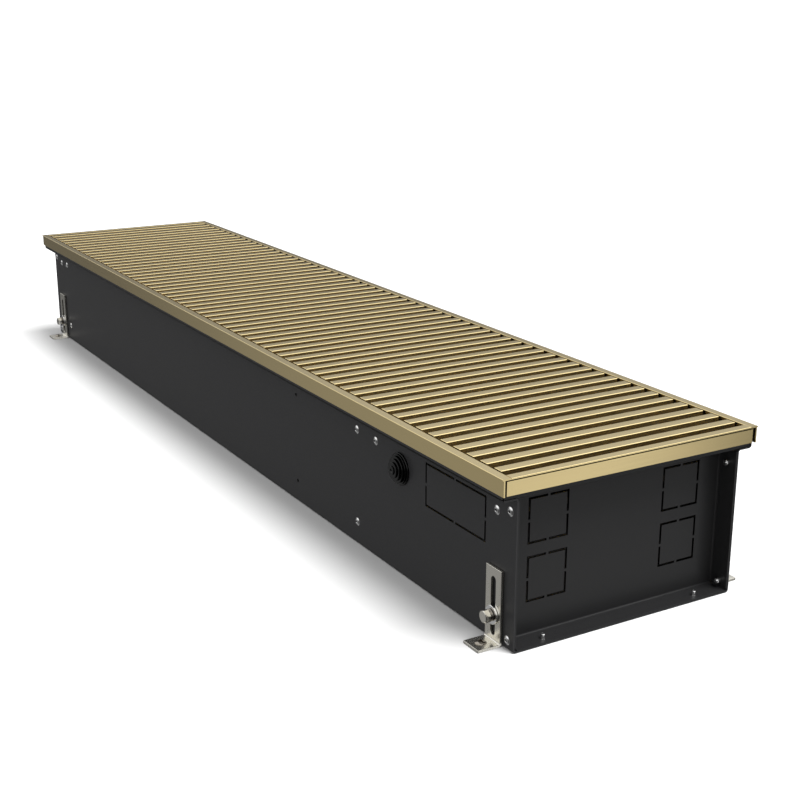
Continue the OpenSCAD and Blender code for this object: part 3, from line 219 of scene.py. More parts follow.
def hexColor(code):
    # sRGB hex to linear: c / 12.92 below 0.04045, and ((c + 0.055) / 1.055) to the power 2.4 above it.
    channels = [int(code[i:i + 2], 16) / 255 for i in (1, 3, 5)]
    return [c / 12.92 if c <= 0.04045 else ((c + 0.055) / 1.055) ** 2.4 for c in channels] + [1.0]


def addNode(tree, kind, links, **settings):
    # One node with its settings; each named input gets a link or a constant.
    node = tree.nodes.new("ShaderNode" + kind)
    for name, value in settings.items():
        setattr(node, name, value)
    for name, value in links.items():
        if isinstance(value, bpy.types.NodeSocket):
            tree.links.new(value, node.inputs[name])
        else:
            node.inputs[name].default_value = value
    return node


def sumOf(tree, operation, first, second=0.0):
    # One sum on two values or outputs.
    return addNode(tree, "Math", {0: first, 1: second}, operation=operation).outputs[0]


def distanceFrom(tree, value, middle, apart=0.0):
    # Distance of a coordinate from the nearer of two spots, each the given millimetres off a middle.
    half = sumOf(tree, "ABSOLUTE", sumOf(tree, "SUBTRACT", value, middle * mm))
    return sumOf(tree, "ABSOLUTE", sumOf(tree, "SUBTRACT", half, apart * mm))


def between(tree, value, low, high):
    # One where the value lies between two places in millimetres, else zero.
    return sumOf(tree, "MULTIPLY", sumOf(tree, "GREATER_THAN", value, low * mm),
                 sumOf(tree, "LESS_THAN", value, high * mm))


def startMaterial(name, **sockets):
    # New material with constants on its shader, and the Object coordinates that its surface goes by.
    material = bpy.data.materials.new(name)
    material.use_nodes = True
    tree = material.node_tree
    shader = tree.nodes["Principled BSDF"]
    for socket, value in sockets.items():
        shader.inputs[socket].default_value = value
    place = addNode(tree, "TexCoord", {}).outputs["Object"]
    return material, tree, shader, place


def grained(name, size, detail, rough, height, colors, **sockets):
    # Finish with one grain all over: noise stretched to a size in millimetres along X, Y and Z. It swings
    # the roughness between two values, the colour between two hex values, and lifts a bump in millimetres.
    material, tree, shader, place = startMaterial(name, **sockets)
    spread = addNode(tree, "Mapping", {"Vector": place, "Scale": tuple(1 / (length * mm) for length in size)})
    noise = addNode(tree, "TexNoise", {"Vector": spread.outputs[0], "Scale": 1.0, "Detail": detail})
    matt = addNode(tree, "MapRange", {"Value": noise.outputs["Fac"], "From Min": 0.3, "From Max": 0.7,
                                      "To Min": rough[0], "To Max": rough[1]})
    tree.links.new(matt.outputs[0], shader.inputs["Roughness"])
    tint = addNode(tree, "Mix", {"Factor": noise.outputs["Fac"], "A": hexColor(colors[0]),
                                 "B": hexColor(colors[1])}, data_type="RGBA")
    tree.links.new(tint.outputs["Result"], shader.inputs["Base Color"])
    bump = addNode(tree, "Bump", {"Height": noise.outputs["Fac"], "Distance": height * mm, "Strength": 1.0})
    tree.links.new(bump.outputs[0], shader.inputs["Normal"])
    return material


def opened(material):
    # Tree, shader and split Object coordinates of a finish, to paint shade on it in places.
    tree = material.node_tree
    place = addNode(tree, "TexCoord", {}).outputs["Object"]
    return tree, tree.nodes["Principled BSDF"], addNode(tree, "SeparateXYZ", {"Vector": place})


def paintInShade(tree, shader, where, color):
    # Paints shade into the colour: turns it to another one as far as the given output goes from zero to one.
    skin = shader.inputs["Base Color"].links[0].from_socket
    tint = addNode(tree, "Mix", {"Factor": where, "A": skin, "B": hexColor(color)}, data_type="RGBA")
    tree.links.new(tint.outputs["Result"], shader.inputs["Base Color"])


def powderCoat(name, colors, axis, cutAt, knockout):
    # Textured polyester powder, cured on laser-cut steel: a fine even orange peel that spreads every
    # highlight. The cut edges inside the sheet's thickness, at the given distance along one axis, are painted
    # black as painted shade, and so is a rim beside the knockouts' slits, which makes the slits read darker
    # and wider. This painted shade takes the metallic branch with a black colour, so that it shows no sheen
    # either.
    # The peel is 0.4 mm on the real coat, drawn four times as coarse to show.
    material = grained(name, (1.6, 1.6, 1.6), 3, (0.38, 0.46), 0.012, colors, IOR=1.34)
    tree, shader, place = opened(material)
    across = distanceFrom(tree, place.outputs[axis], 0)
    cutHalf = casing["cutShare"] * casing["sheet"]
    edge = between(tree, across, cutAt - cutHalf, cutAt + cutHalf)
    along = distanceFrom(tree, place.outputs[knockout["along"]], *knockout["middle"])
    up = distanceFrom(tree, place.outputs["Z"], *knockout["height"])
    out = sumOf(tree, "MAXIMUM", sumOf(tree, "SUBTRACT", along, knockout["half"][0] * mm),
                sumOf(tree, "SUBTRACT", up, knockout["half"][1] * mm))
    rim = between(tree, out, -knockout["inside"], knockout["rim"])
    slit = sumOf(tree, "GREATER_THAN", sumOf(tree, "MINIMUM", along, up), knockout["bridge"] / 2 * mm)
    if knockout["frontOnly"]:
        across = sumOf(tree, "MULTIPLY", place.outputs[axis], -1.0)
    outer = sumOf(tree, "GREATER_THAN", across, knockout["beyond"] * mm)
    paintedRimShade = sumOf(tree, "MULTIPLY", sumOf(tree, "MULTIPLY", rim, slit), outer)
    paintedShadeMask = sumOf(tree, "MAXIMUM", edge, paintedRimShade)
    # Painted shade: the cut edges and the rims beside the slits turn black, with no sheen.
    paintInShade(tree, shader, paintedShadeMask, "#020202")
    tree.links.new(paintedShadeMask, shader.inputs["Metallic"])
    return material


def anodised(name, size, flank=None, corner=None):
    # Extruded aluminium, satin etched and champagne anodised: the die leaves faint lines along the profile.
    # Down the flanks of the bars the colour is painted paler and the surface made rougher: a painted tone
    # that stands in for the light in the shaded gaps. Below the frame's overhanging cap a dark line is
    # painted as shade under the overhang.
    material = grained(name, size, 2, (0.17, 0.21), 0.001, ("#d7c38f", "#dac794"), Metallic=1.0)
    tree, shader, place = opened(material)
    # Painted shade: a dark line across the end frames just under the cap.
    if corner:
        outer = sumOf(tree, "GREATER_THAN", distanceFrom(tree, place.outputs["X"], 0), corner["beyond"] * mm)
        under = between(tree, place.outputs["Z"], corner["low"], corner["top"])
        paintInShade(tree, shader, sumOf(tree, "MULTIPLY", outer, under), corner["color"])
    # Painted tone for the shaded gaps: the flanks go paler and rougher from just under the top down.
    if flank:
        deep = addNode(tree, "MapRange", {"Value": place.outputs["Z"], "From Min": flank["from"] * mm,
                                          "From Max": flank["to"] * mm}).outputs[0]
        paintInShade(tree, shader, deep, flank["color"])
        skin = shader.inputs["Roughness"].links[0].from_socket
        matt = addNode(tree, "Mix", {"Factor": deep, "A": skin, "B": flank["rough"]}, data_type="FLOAT")
        tree.links.new(matt.outputs["Result"], shader.inputs["Roughness"])
    return material


def galvanisedSheet(crystal):
    # Hot-dip galvanised sheet: flat zinc crystals, each a little lighter or darker than the next.
    material, tree, shader, place = startMaterial("galvanisedSheet", Metallic=1.0)
    cells = addNode(tree, "TexVoronoi", {"Vector": place, "Scale": 1 / (crystal["size"] * mm)})
    split = addNode(tree, "SeparateColor", {"Color": cells.outputs["Color"]})
    tint = addNode(tree, "Mix", {"Factor": split.outputs["Red"], "A": hexColor(crystal["dark"]),
                                 "B": hexColor(crystal["light"])}, data_type="RGBA")
    tree.links.new(tint.outputs["Result"], shader.inputs["Base Color"])
    rough = addNode(tree, "MapRange", {"Value": split.outputs["Green"], "To Min": crystal["rough"][0],
                                       "To Max": crystal["rough"][1]})
    tree.links.new(rough.outputs[0], shader.inputs["Roughness"])
    return material


# cutShare times the sheet's thickness is half the width of the band painted black as shade across each cut
# edge.
casing = {"sheet": 1.2, "plateGap": 0.2, "cutShare": 0.48}
plateLow, plateHigh = partBox("end_plate_near")
# Widths in millimetres of the painted shade round the knockouts' slits: rim outside the outline, inside
# within it; the bridge between slits is left unpainted.
slits = {"rim": 0.4, "inside": 1.7, "bridge": 2.5}
pipeKnockout = {**slits, "along": "Y", "middle": (0, 69.5), "height": (76.3, 25.4), "half": (19.75, 19.75),
                "beyond": 550, "frontOnly": False}
serviceKnockout = {**slits, "along": "X", "middle": (517.5,), "height": (100.7,), "half": (46, 19.75),
                   "beyond": 100, "frontOnly": True}
wallCoat = powderCoat("powderCoatedTrough", ("#202021", "#242425"), "Y",
                      plateHigh[1] + casing["plateGap"] + casing["sheet"] / 2, serviceKnockout)
# The end plates and partitions take the same coat in darker colours: painted shade for the end faces, which
# catch less light.
plateCoat = powderCoat("powderCoatedPlate", ("#181818", "#1b1b1c"), "X",
                       plateLow[0] + casing["sheet"] / 2, pipeKnockout)

anodisedLong = anodised("anodisedAlongX", (60, 0.8, 0.8))
# The end frames carry a painted shade line under their cap.
anodisedCross = anodised("anodisedAlongY", (0.8, 60, 0.8),
                         corner={"low": 149.3, "top": 150.68, "beyond": 606, "color": "#120e06"})
# The bars carry a paler painted tone down their flanks, standing in for the shaded gaps.
anodisedBar = anodised("anodisedBars", (0.8, 60, 0.8),
                       flank={"from": 151.2, "to": 150.4, "color": "#dccba0", "rough": 0.3})

# Stainless strip, rolled and brushed upwards before pressing: soft vertical lines that blur reflections
stainless = grained("brushedStainless", size=(0.5, 0.5, 40), detail=3, rough=(0.2, 0.3), height=0.004,
                    colors=("#cfccc2", "#dcd9d0"), Metallic=1.0)

# Small hardware, barrel plated or tumbled bright: pale or mid grey metal with a faint mottled bloom
hardware = {"size": (1.5, 1.5, 1.5), "detail": 3, "rough": (0.12, 0.22), "height": 0.008, "Metallic": 1.0}
zinc = grained("zincPlatedSteel", colors=("#cfccc4", "#e0ddd4"), **hardware)
rivetMetal = grained("tumbledRivetAluminium", colors=("#dcdcdc", "#efefee"), **hardware)
springSteel = grained("platedSpringSteel", colors=("#7c776e", "#98928a"), **hardware)

# Spring steel, hardened and oiled black: a dull dark metal with a faint sheen
darkSteel = grained("blackenedSpringSteel", size=(0.9, 0.9, 0.9), detail=2, rough=(0.38, 0.5), height=0.006,
                    colors=("#2a2a2b", "#38383a"), Metallic=1.0)

# Moulded EPDM rubber: matt, with a fine eroded mould texture and a weak wide sheen
rubber = grained("mouldedRubber", size=(0.7, 0.7, 0.7), detail=3, rough=(0.5, 0.64), height=0.012,
                 colors=("#0b0b0b", "#121212"), IOR=1.52)

# Compression-moulded rubber out of a polished mould: deep black with thin bright lines on every rim
grommetRubber = grained("polishedRubber", size=(2, 2, 2), detail=2, rough=(0.15, 0.2), height=0.004,
                        colors=("#010101", "#030303"), IOR=1.32)

# Rolled aluminium foil, stamped into fins: bright, with rolling lines up each fin
finMetal = grained("rolledFinAluminium", size=(0.6, 0.5, 25), detail=2, rough=(0.22, 0.36), height=0.004,
                   colors=("#c9ccce", "#dcdfe0"), Metallic=1.0)

# Drawn copper with a handled surface: warm metal clouded by thin brown oxide
copper = grained("drawnCopper", size=(14, 5, 5), detail=5, rough=(0.2, 0.42), height=0.003,
                 colors=("#a4623f", "#dc9470"), Metallic=1.0)

# Free-cutting brass off the lathe: yellow metal with fine turning rings along X
brass = grained("turnedBrass", size=(0.35, 6, 6), detail=2, rough=(0.2, 0.32), height=0.005,
                colors=("#c79e4e", "#dab866"), Metallic=1.0)

galvanised = galvanisedSheet({"size": 6, "dark": "#8d9396", "light": "#b4babc", "rough": (0.3, 0.48)})

# Die-cast housing under baked black enamel: smooth and softly glossy over a slightly uneven casting
enamel = grained("bakedEnamel", size=(3, 3, 3), detail=2, rough=(0.26, 0.36), height=0.03,
                 colors=("#141517", "#1b1c1f"), IOR=1.52)

# Injection-moulded thermoplastics with a spark-eroded grain: an even, dry, low sheen
moulded = {"size": (0.8, 0.8, 0.8), "detail": 3, "height": 0.01, "IOR": 1.49}
fanPlastic = grained("mouldedFanPlastic", rough=(0.4, 0.52), colors=("#1a1a1c", "#222225"), **moulded)
blackPlastic = grained("mouldedBlackPolyamide", rough=(0.38, 0.5), colors=("#101011", "#171718"),
                       **moulded)
boxPlastic = grained("mouldedGreyPolycarbonate", rough=(0.38, 0.48), colors=("#3a3d40", "#43464a"),
                     **moulded)
blockPlastic = grained("mouldedPaleMelamine", rough=(0.32, 0.44), colors=("#d9d8cf", "#e6e5dd"), **moulded)
print("finishes made")

carried = {
    wallCoat: ["trough", "spreader_bars"],
    plateCoat: ["end_plate_near", "end_plate_far", "partition_near", "partition_far"],
    anodisedLong: ["frame_front", "frame_rear"],
    anodisedCross: ["frame_end_near", "frame_end_far"],
    galvanised: ["fan_scroll", "fan_tongue", "motor_plates"],
    finMetal: ["fin_pack"],
    fanPlastic: ["impeller_near", "impeller_far"],
    boxPlastic: ["terminal_box", "terminal_lid"],
    blockPlastic: ["terminal_block"],
    rubber: ["seal_strips"],
    enamel: ["fan_motor"],
}
for material, names in carried.items():
    for name in names:
        for place in nodes[name].material_slots:
            place.material = material
print("carried parts dressed:", sum(len(names) for names in carried.values()))


# Grille: 61 hollow bars on two cores with a spacer in every gap

bar = {"topRadius": 0.8, "lowRadius": 0.48, "wall": 1.4, "innerRadius": 0.3, "endChamfer": 0.3,
       "cornerSteps": 4}
core = {"radius": 3.0, "headLength": 1.8, "chamfer": 0.4, "spacerPlay": 0.05}


def barOutline(width, height, inset, topRadius, lowRadius, steps):
    # Section of a bar, from its top right corner round to its lower right one: four quarter circles, each
    # (cx + r cos a, cz + r sin a), on a rectangle drawn in by the inset.
    right, top = width / 2 - inset, height - inset
    corners = [(right - topRadius, top - topRadius, topRadius),
               (topRadius - right, top - topRadius, topRadius),
               (lowRadius - right, inset + lowRadius, lowRadius),
               (right - lowRadius, inset + lowRadius, lowRadius)]
    outline = []
    for quarter, (cx, cz, r) in enumerate(corners):
        angle = fullTurn * (np.linspace(0, 0.25, steps + 1) + quarter / 4)
        outline.append(np.stack([cx + r * np.cos(angle), cz + r * np.sin(angle)], -1))
    return np.concatenate(outline)


def barShape(width, height, half, look):
    # Hollow bar along Y: six sections joined into one closed skin, out along the outside and back inside.
    steps, cut, thin = look["cornerSteps"], look["endChamfer"], look["innerRadius"]
    outer = barOutline(width, height, 0, look["topRadius"], look["lowRadius"], steps)
    end = barOutline(width, height, cut, look["topRadius"] - cut, look["lowRadius"] - cut, steps)
    inner = barOutline(width, height, look["wall"], thin, thin, steps)
    sections = [(end, -half), (outer, cut - half), (outer, half - cut), (end, half), (inner, half),
                (inner, -half)]
    rings = [np.stack([section[:, 0], np.full(len(section), y), section[:, 1]], -1)
             for section, y in sections]
    return ringStack(rings, closeRows=True)


def coreShape(length, headRadius, look):
    # Turned rod with a chamfered head at each end.
    c, h = look["chamfer"], look["headLength"]
    profile = [(0, 0), (headRadius - c, 0), (headRadius, c), (headRadius, h), (look["radius"], h)]
    return lathe(profile + [(r, length - z) for r, z in reversed(profile)], 24)


barLow, barHigh = solidBoxes("grille_bars")
barSize = barHigh[0] - barLow[0]
barPlaces = [seatOf(low, high, y=0, z=low[2]) for low, high in zip(barLow, barHigh)]
makePiece("grilleBars", repeat(barShape(barSize[0], barSize[2], barSize[1] / 2, bar), barPlaces),
          anodisedBar, "grille", ["grille_bars"])

coreShapes = [aim(coreShape(high[0] - low[0], (high[2] - low[2]) / 2, core), (1, 0, 0),
                  seatOf(low, high, x=low[0]))
              for low, high in zip(*solidBoxes("grille_cores"))]
makePiece("grilleCores", join(coreShapes), zinc, "grille", ["grille_cores"])

spacerLow, spacerHigh = solidBoxes("grille_spacers")
spacerLength, spacerInner = (spacerHigh - spacerLow)[0, 0], core["radius"] + core["spacerPlay"]
spacerOuter = (spacerHigh - spacerLow)[0, 2] / 2
spacer = lathe([(spacerOuter, 0), (spacerOuter, spacerLength), (spacerInner, spacerLength),
                (spacerInner, 0)], 16)
spacerPlaces = [seatOf(low, high, x=low[0]) for low, high in zip(spacerLow, spacerHigh)]
makePiece("grilleSpacers", repeat(aim(spacer, (1, 0, 0)), spacerPlaces), blackPlastic, "grille",
          ["grille_spacers"])
print("grille made:", len(barLow), "bars,", len(coreShapes), "cores,", len(spacerLow), "spacers")


# Blind rivets: domed head with an open mandrel hole, shank and swollen tail. The broken mandrel sits deep
# in the hole.

rivet = {"headHeight": 1.3, "headRadius": 4.0, "rim": 0.25, "domePower": 1.4, "holeRadius": 1.25,
         "shankRadius": 2.0, "grip": 2.6, "tailRadius": 2.8, "tailLength": 4.8}
floorRivet = {"headRadius": 3.9, "headDepth": 0.62, "shankRadius": 2.0, "grip": 2.4, "tailRadius": 1.9,
              "boreRadius": 1.0, "tail": 4.2}


def rivetShape(look):
    # Turned rivet with Z out of the wall: from the rim to the hole's edge the head's height is
    # h cos(pi / 2 (r / R)^1.4).
    r = np.linspace(look["headRadius"] - look["rim"], look["holeRadius"] + 0.2, 6)
    dome = look["headHeight"] * np.cos(math.pi / 2 * (r / look["headRadius"]) ** look["domePower"])
    tail, shank, grip, head = look["tailRadius"], look["shankRadius"], look["grip"], look["headRadius"]
    tailEnd = -grip - look["tailLength"]
    profile = [(0, tailEnd), (tail * 0.55, tailEnd), (tail * 0.9, tailEnd + 0.7), (tail, tailEnd + 2),
               (tail, -grip - 0.4), (tail - 0.4, -grip), (shank, -grip), (shank, 0), (head - 0.1, 0),
               (head, 0.12)]
    profile += list(zip(r, dome))
    profile += [(look["holeRadius"], dome[-1] - 0.15), (look["holeRadius"], 0.1), (0, 0.1)]
    return lathe(profile, 28)


def mandrelShape(look):
    # Broken steel pin at the bottom of a rivet's hole, with a rough cupped top.
    r = look["holeRadius"] - 0.04
    return lathe([(0, 0.1), (r, 0.1), (r, 0.2), (r * 0.6, 0.3), (0, 0.2)], 16)


def floorRivetShape(look):
    # Turned flush rivet from the casing's underside up: countersunk head, shank, straight tail with rounded
    # rims, and back down the bore to the mandrel.
    r, bore, grip, shank = look["tailRadius"], look["boreRadius"], look["grip"], look["shankRadius"]
    top = grip + look["tail"]
    return lathe([(0, 0), (look["headRadius"], 0), (shank, look["headDepth"]), (shank, grip), (r, grip),
                  (r, top - 0.3), (r - 0.3, top), (bore + 0.1, top), (bore, top - 0.2), (bore, grip + 1),
                  (0, grip + 1)], 32)


def onRivets(shape):
    # The shape at every wall rivet, its zero under the rivet's head.
    def seated(size, inside, outside):
        return shape, inside + rivet["grip"] + rivet["tailLength"]

    return wallShapes("wall_rivets", seated)


makePiece("wallRivets", onRivets(rivetShape(rivet)), rivetMetal, "casing",
          ["wall_rivets"])
makePiece("rivetMandrels", onRivets(mandrelShape(rivet)), darkSteel, "casing")
floorSeats = [seatOf(low, high, z=low[2]) for low, high in zip(*solidBoxes("floor_rivets"))]
makePiece("floorRivets", repeat(floorRivetShape(floorRivet), floorSeats),
          rivetMetal, "casing", ["floor_rivets"])
print("rivets made:", len(solidBoxes("wall_rivets")[0]) + len(floorSeats))


# Levelling feet: slotted bracket, bolt, spring washer, flat washer, rivet nut and floor screw

foot = {"thickness": 2.5, "bendRadius": 1.5, "width": 21.5, "slotWidth": 6.6, "slotLow": 7.0,
        "slotLength": 51.2, "screwOut": 13.5, "screwHole": 5.1, "edge": 0.35, "sideSteps": 8}
bolt = {"roll": math.radians(18), "flats": 10.0, "headHeight": 4.98, "shankRadius": 3.0, "faceHeight": 0.45,
        "faceShare": 0.94}
washer = {"bore": 3.05, "chamfer": 0.2}
lock = {"roll": 2.4, "bore": 3.05, "outer": 5.25, "gap": 9, "rise": 0.7, "edge": 0.25}
rivetNut = {"bore": 3.05, "barrel": ((5.2, 0.2), (4.2, 0), (2.6, 0), (1.6, 0.25), (0.8, 0))}
floorScrew = {"headRadius": 5.0, "headHeight": 2.14, "shankRadius": 2.5, "cross": 5.6, "crossWidth": 1.5,
              "recessShare": 0.05, "roll": 0.5, "rollApart": 0.4}


def holeBlank(width, low, high, outline, count):
    # Flat sheet between two heights with a hole in it: four sides of count steps each, from the lower left
    # corner round, joined to the hole's outline by rings at 0, 0.5 and 1 of the way.
    share = np.arange(count) / count
    left, right = -width / 2, width / 2
    edge = np.concatenate([np.stack([left + width * share, low + 0 * share], -1),
                           np.stack([right + 0 * share, low + (high - low) * share], -1),
                           np.stack([right - width * share, high + 0 * share], -1),
                           np.stack([left + 0 * share, high - (high - low) * share], -1)])
    return np.stack([edge + (outline - edge) * t for t in (0, 0.5, 1)])


def slotOutline(width, low, high, count):
    # Round-ended slot from its lower left: half circle below, straight side, half circle above, straight
    # side. A slot as long as it is wide is a circle, taken in four equal quarters.
    r = width / 2
    share = np.arange(count) / count
    if high - low <= width:
        turn = -0.375 * fullTurn + fullTurn * np.arange(4 * count) / (4 * count)
        return np.stack([r * np.cos(turn), (low + high) / 2 + r * np.sin(turn)], -1)
    down, up = -math.pi + math.pi * share, math.pi * share
    rise = high - low - width
    return np.concatenate([np.stack([r * np.cos(down), low + r + r * np.sin(down)], -1),
                           np.stack([r + 0 * share, low + r + rise * share], -1),
                           np.stack([r * np.cos(up), high - r + r * np.sin(up)], -1),
                           np.stack([-r + 0 * share, high - r - rise * share], -1)])


def foldFoot(points, look, reach):
    # Folds the flat blank (u, s, w): straight on the floor while s is below a, then round the bend by the
    # angle (s - a) / m at radius bend + thickness - w, then straight up the wall. m is the bend's middle
    # radius.
    u, s, w = points[..., 0], points[..., 1], points[..., 2]
    outer = look["bendRadius"] + look["thickness"]
    middle = look["bendRadius"] + look["thickness"] / 2
    flat = reach - outer
    turn = np.clip((s - flat) / middle, 0, math.pi / 2)
    radius = outer - w
    rest = np.maximum(s - flat - middle * math.pi / 2, 0)
    out = np.where(s < flat, reach - s, outer - radius * np.sin(turn))
    up = outer - radius * np.cos(turn) + rest
    return np.stack([u, out, up], -1)


def footShape(look, reach, height):
    # Bracket of one foot as a flat blank: a sheet with the screw's hole, the bend and a sheet with the slot,
    # each as two skins a thickness apart, joined in the holes and along the outer edges, and then folded.
    thick, count, width = look["thickness"], look["sideSteps"], look["width"]
    outer = look["bendRadius"] + thick
    middle = look["bendRadius"] + thick / 2
    flat = reach - outer
    legStart = flat + middle * math.pi / 2
    climb = legStart - outer
    legEnd = climb + height
    hole, screw = look["screwHole"], reach - look["screwOut"]
    low, high = climb + look["slotLow"], climb + look["slotLow"] + look["slotLength"]
    toeHole = slotOutline(hole, screw - hole / 2, screw + hole / 2, count)
    legSlot = slotOutline(look["slotWidth"], low, high, count)
    share = np.arange(count + 1) / count
    across, along = np.linspace(-width / 2, width / 2, count + 1), np.linspace(flat, legStart, 9)

    def lifted(sheet, w):
        return np.concatenate([sheet, np.full(sheet.shape[:2] + (1,), w)], -1)

    patches = []
    for rings in (holeBlank(width, 0, flat, toeHole, count),
                  holeBlank(width, legStart, legEnd, legSlot, count)):
        loop = np.concatenate([lifted(rings, 0.0), lifted(rings, thick)[::-1]])
        inner = len(rings)
        patches += [(loop[:inner], True), (loop[inner:], True), (loop[inner - 1:inner + 1], True)]
    bend = np.stack(np.meshgrid(across, along), -1)
    patches += [(lifted(bend, w), False) for w in (0.0, thick)]
    sideS = np.unique(np.concatenate([flat * share, along, legStart + (legEnd - legStart) * share]).round(6))
    edges = [(np.full(len(sideS), u), sideS) for u in (-width / 2, width / 2)]
    edges += [(across, np.full(count + 1, s)) for s in (0.0, legEnd)]
    patches += [(np.stack([np.stack([u, s, np.full(len(s), w)], -1) for w in (0.0, thick)], 1), False)
                for u, s in edges]
    return join([(foldFoot(patch, look, reach).reshape(-1, 3),
                  gridFaces(*patch.shape[:2], closeColumns=closed)) for patch, closed in patches])


def hexRadius(acrossFlats, steps=48):
    # Distance from a hexagon's middle to its edge at each angle: half the flats over cos(a mod 60 - 30), in
    # degrees.
    angle = np.linspace(0, 360, steps, endpoint=False)
    return acrossFlats / 2 / np.cos(np.radians(angle % 60 - 30))


def hexBolt(look, shankLength):
    # Hexagon bolt, Z outwards, zero under its head: shank with a chamfered end, washer face, hexagon whose
    # corners are cut by a 30 degree cone, and a flat top.
    flats, high, shank, face = look["flats"], look["headHeight"], look["shankRadius"], look["faceHeight"]
    hexagon, top = hexRadius(flats), look["faceShare"] * flats / 2
    cone = high - (hexagon - top) * math.tan(math.radians(30))
    return lathe([(0, -shankLength), (shank - 0.4, -shankLength), (shank, 0.4 - shankLength), (shank, 0),
                  (top, 0), (top, face), (hexagon, face), (hexagon, cone), (top, high),
                  (top * 0.6, high - 0.12), (0, high - 0.12)], 48)


def springWasher(look, thick):
    # Split ring: its rectangular section runs round from one end of the gap to the other and climbs by the
    # rise.
    steps = 49
    angle = np.radians(np.linspace(look["gap"] / 2, 360 - look["gap"] / 2, steps))
    rise = look["rise"] * np.linspace(0, 1, steps)
    section = np.array(bandProfile(look["bore"], look["outer"], 0, thick - look["rise"], look["edge"]))
    rings = np.stack([section[:, 0] * np.cos(angle)[:, None], section[:, 0] * np.sin(angle)[:, None],
                      section[:, 1] + rise[:, None]], -1)
    caps = np.repeat(rings[[0, -1]].mean(1)[:, None], len(section), 1)
    return ringStack(np.concatenate([caps[:1], rings, caps[1:]]))


def nutShape(look, length, radius):
    # Rivet nut, Z outwards from its flush rim: bore, chamfered end and a barrel that swells behind the wall,
    # given as depths and how far it is drawn in there.
    bore = look["bore"]
    return lathe([(bore, 0), (bore, -length), (radius - 0.4, -length), (radius - 0.2, 0.4 - length)]
                 + [(radius - drawn, -depth) for depth, drawn in look["barrel"]] + [(radius, 0)], 32)


def crossOutline(length, width, count=4):
    # Outline of a cross: for each arm its two tip corners and the inner corner after it, with count steps
    # between neighbouring corners.
    a, b = length / 2, width / 2
    arm = np.array([(a, -b), (a, b), (b, b)])
    corners = np.concatenate([arm @ np.array([[math.cos(t), math.sin(t)], [-math.sin(t), math.cos(t)]])
                              for t in np.radians([0, 90, 180, 270])])
    share = (np.arange(count) / count)[None, :, None]
    after = np.roll(corners, -1, axis=0)
    return (corners[:, None] + (after - corners)[:, None] * share).reshape(-1, 2)


def crossScrew(look, shankLength):
    # Screw with a domed head and a cross recess, zero under its head. The dome's height is
    # h (1 - 0.85 (r / R)^2.4); the recess follows the cross outline down and narrows to 0.7 of it.
    head, high, shank = look["headRadius"], look["headHeight"], look["shankRadius"]
    cross = crossOutline(look["cross"], look["crossWidth"])
    start = math.atan2(cross[0, 1], cross[0, 0])
    angle = start + fullTurn * np.arange(len(cross)) / len(cross)
    circle = np.stack([np.cos(angle), np.sin(angle)], -1)

    def flatRing(points, height):
        return np.concatenate([points, np.broadcast_to(height, len(points))[:, None]], 1)

    def dome(r):
        return high * (1 - (np.asarray(r) / head) ** 2.4 * 0.85)

    pairs = [(0, -shankLength), (shank - 0.3, -shankLength), (shank, 0.4 - shankLength), (shank, 0),
             (head - 0.15, 0), (head, high * 0.08), (head, high * 0.15)]
    pairs += [(head * share, dome(head * share)) for share in (0.93, 0.84, 0.72)]
    rings = [flatRing(circle * r, z) for r, z in pairs]
    rings += [flatRing(cross, dome(np.hypot(cross[:, 0], cross[:, 1]))),
              flatRing(cross * 0.7, high * look["recessShare"]),
              flatRing(cross * 0, high * look["recessShare"] - 0.3)]
    return ringStack(rings)


# Seats for wallShapes: the shape, and how far out of the casing's middle its zero point lies

def seatedBolt(size, inside, outside):
    return hexBolt(bolt, outside - bolt["headHeight"] - inside), outside - bolt["headHeight"]


def seatedWasher(size, inside, outside):
    return lathe(bandProfile(washer["bore"], size[0] / 2, 0, size[1], washer["chamfer"]), 48), inside


def seatedLock(size, inside, outside):
    return springWasher(lock, size[1]), inside


def seatedNut(size, inside, outside):
    return nutShape(rivetNut, size[1], size[2] / 2), outside


makePiece("footBolts", wallShapes("foot_bolts", seatedBolt, bolt["roll"]), zinc, "casing",
          ["foot_bolts"], sharp=28)
makePiece("lockWashers", wallShapes("lock_washers", seatedLock, lock["roll"]), springSteel, "casing",
          ["lock_washers"])
makePiece("footWashers", wallShapes("foot_washers", seatedWasher), rivetMetal, "casing",
          ["foot_washers"])
makePiece("rivetNuts", wallShapes("rivet_nuts", seatedNut), zinc, "casing",
          ["rivet_nuts"])

for end in ("near", "far"):
    for row, side in (("front", -1), ("rear", 1)):
        low, high = partBox(f"foot_{end}_{row}")
        inside, outside = sorted((abs(low[1]), abs(high[1])))
        points, faces = footShape(foot, high[1] - low[1], high[2] - low[2])
        placed = np.stack([(low + high)[0] / 2 + points[:, 0], side * (inside + points[:, 1]),
                           low[2] + points[:, 2]], -1)
        body = f"foot_{end}_{row}_bracket"
        makePiece(f"foot{end.title()}{row.title()}", (placed, faces), stainless, body,
                  [f"foot_{end}_{row}"], sharp=30, bevel=foot["edge"])
        place = seatOf(low, high, y=side * (inside + foot["screwOut"]), z=low[2] + foot["thickness"])
        makePiece(f"floorScrew{end.title()}{row.title()}",
                  aim(crossScrew(floorScrew, foot["thickness"]), (0, 0, 1), place,
                      roll=floorScrew["roll"] + floorScrew["rollApart"] * side),
                  springSteel, body, [f"foot_screw_{end}_{row}"])
print("feet made")


# Stepped grommet: flange on the wall, neck through it, five rings growing narrower outwards. solidOut is how
# far the CAD's solid stands out of the wall, which is more than the rings do.

grommet = {"solidOut": 14.0, "out": 10.2, "flange": 2.0, "flangeRadius": 15.0, "wide": 14.6,
           "angles": (20, 74), "rings": 5, "lipShare": 0.34, "groove": 1.1, "neck": 11.95, "wall": 1.2,
           "inner": 13.8, "innerBack": 2.54}


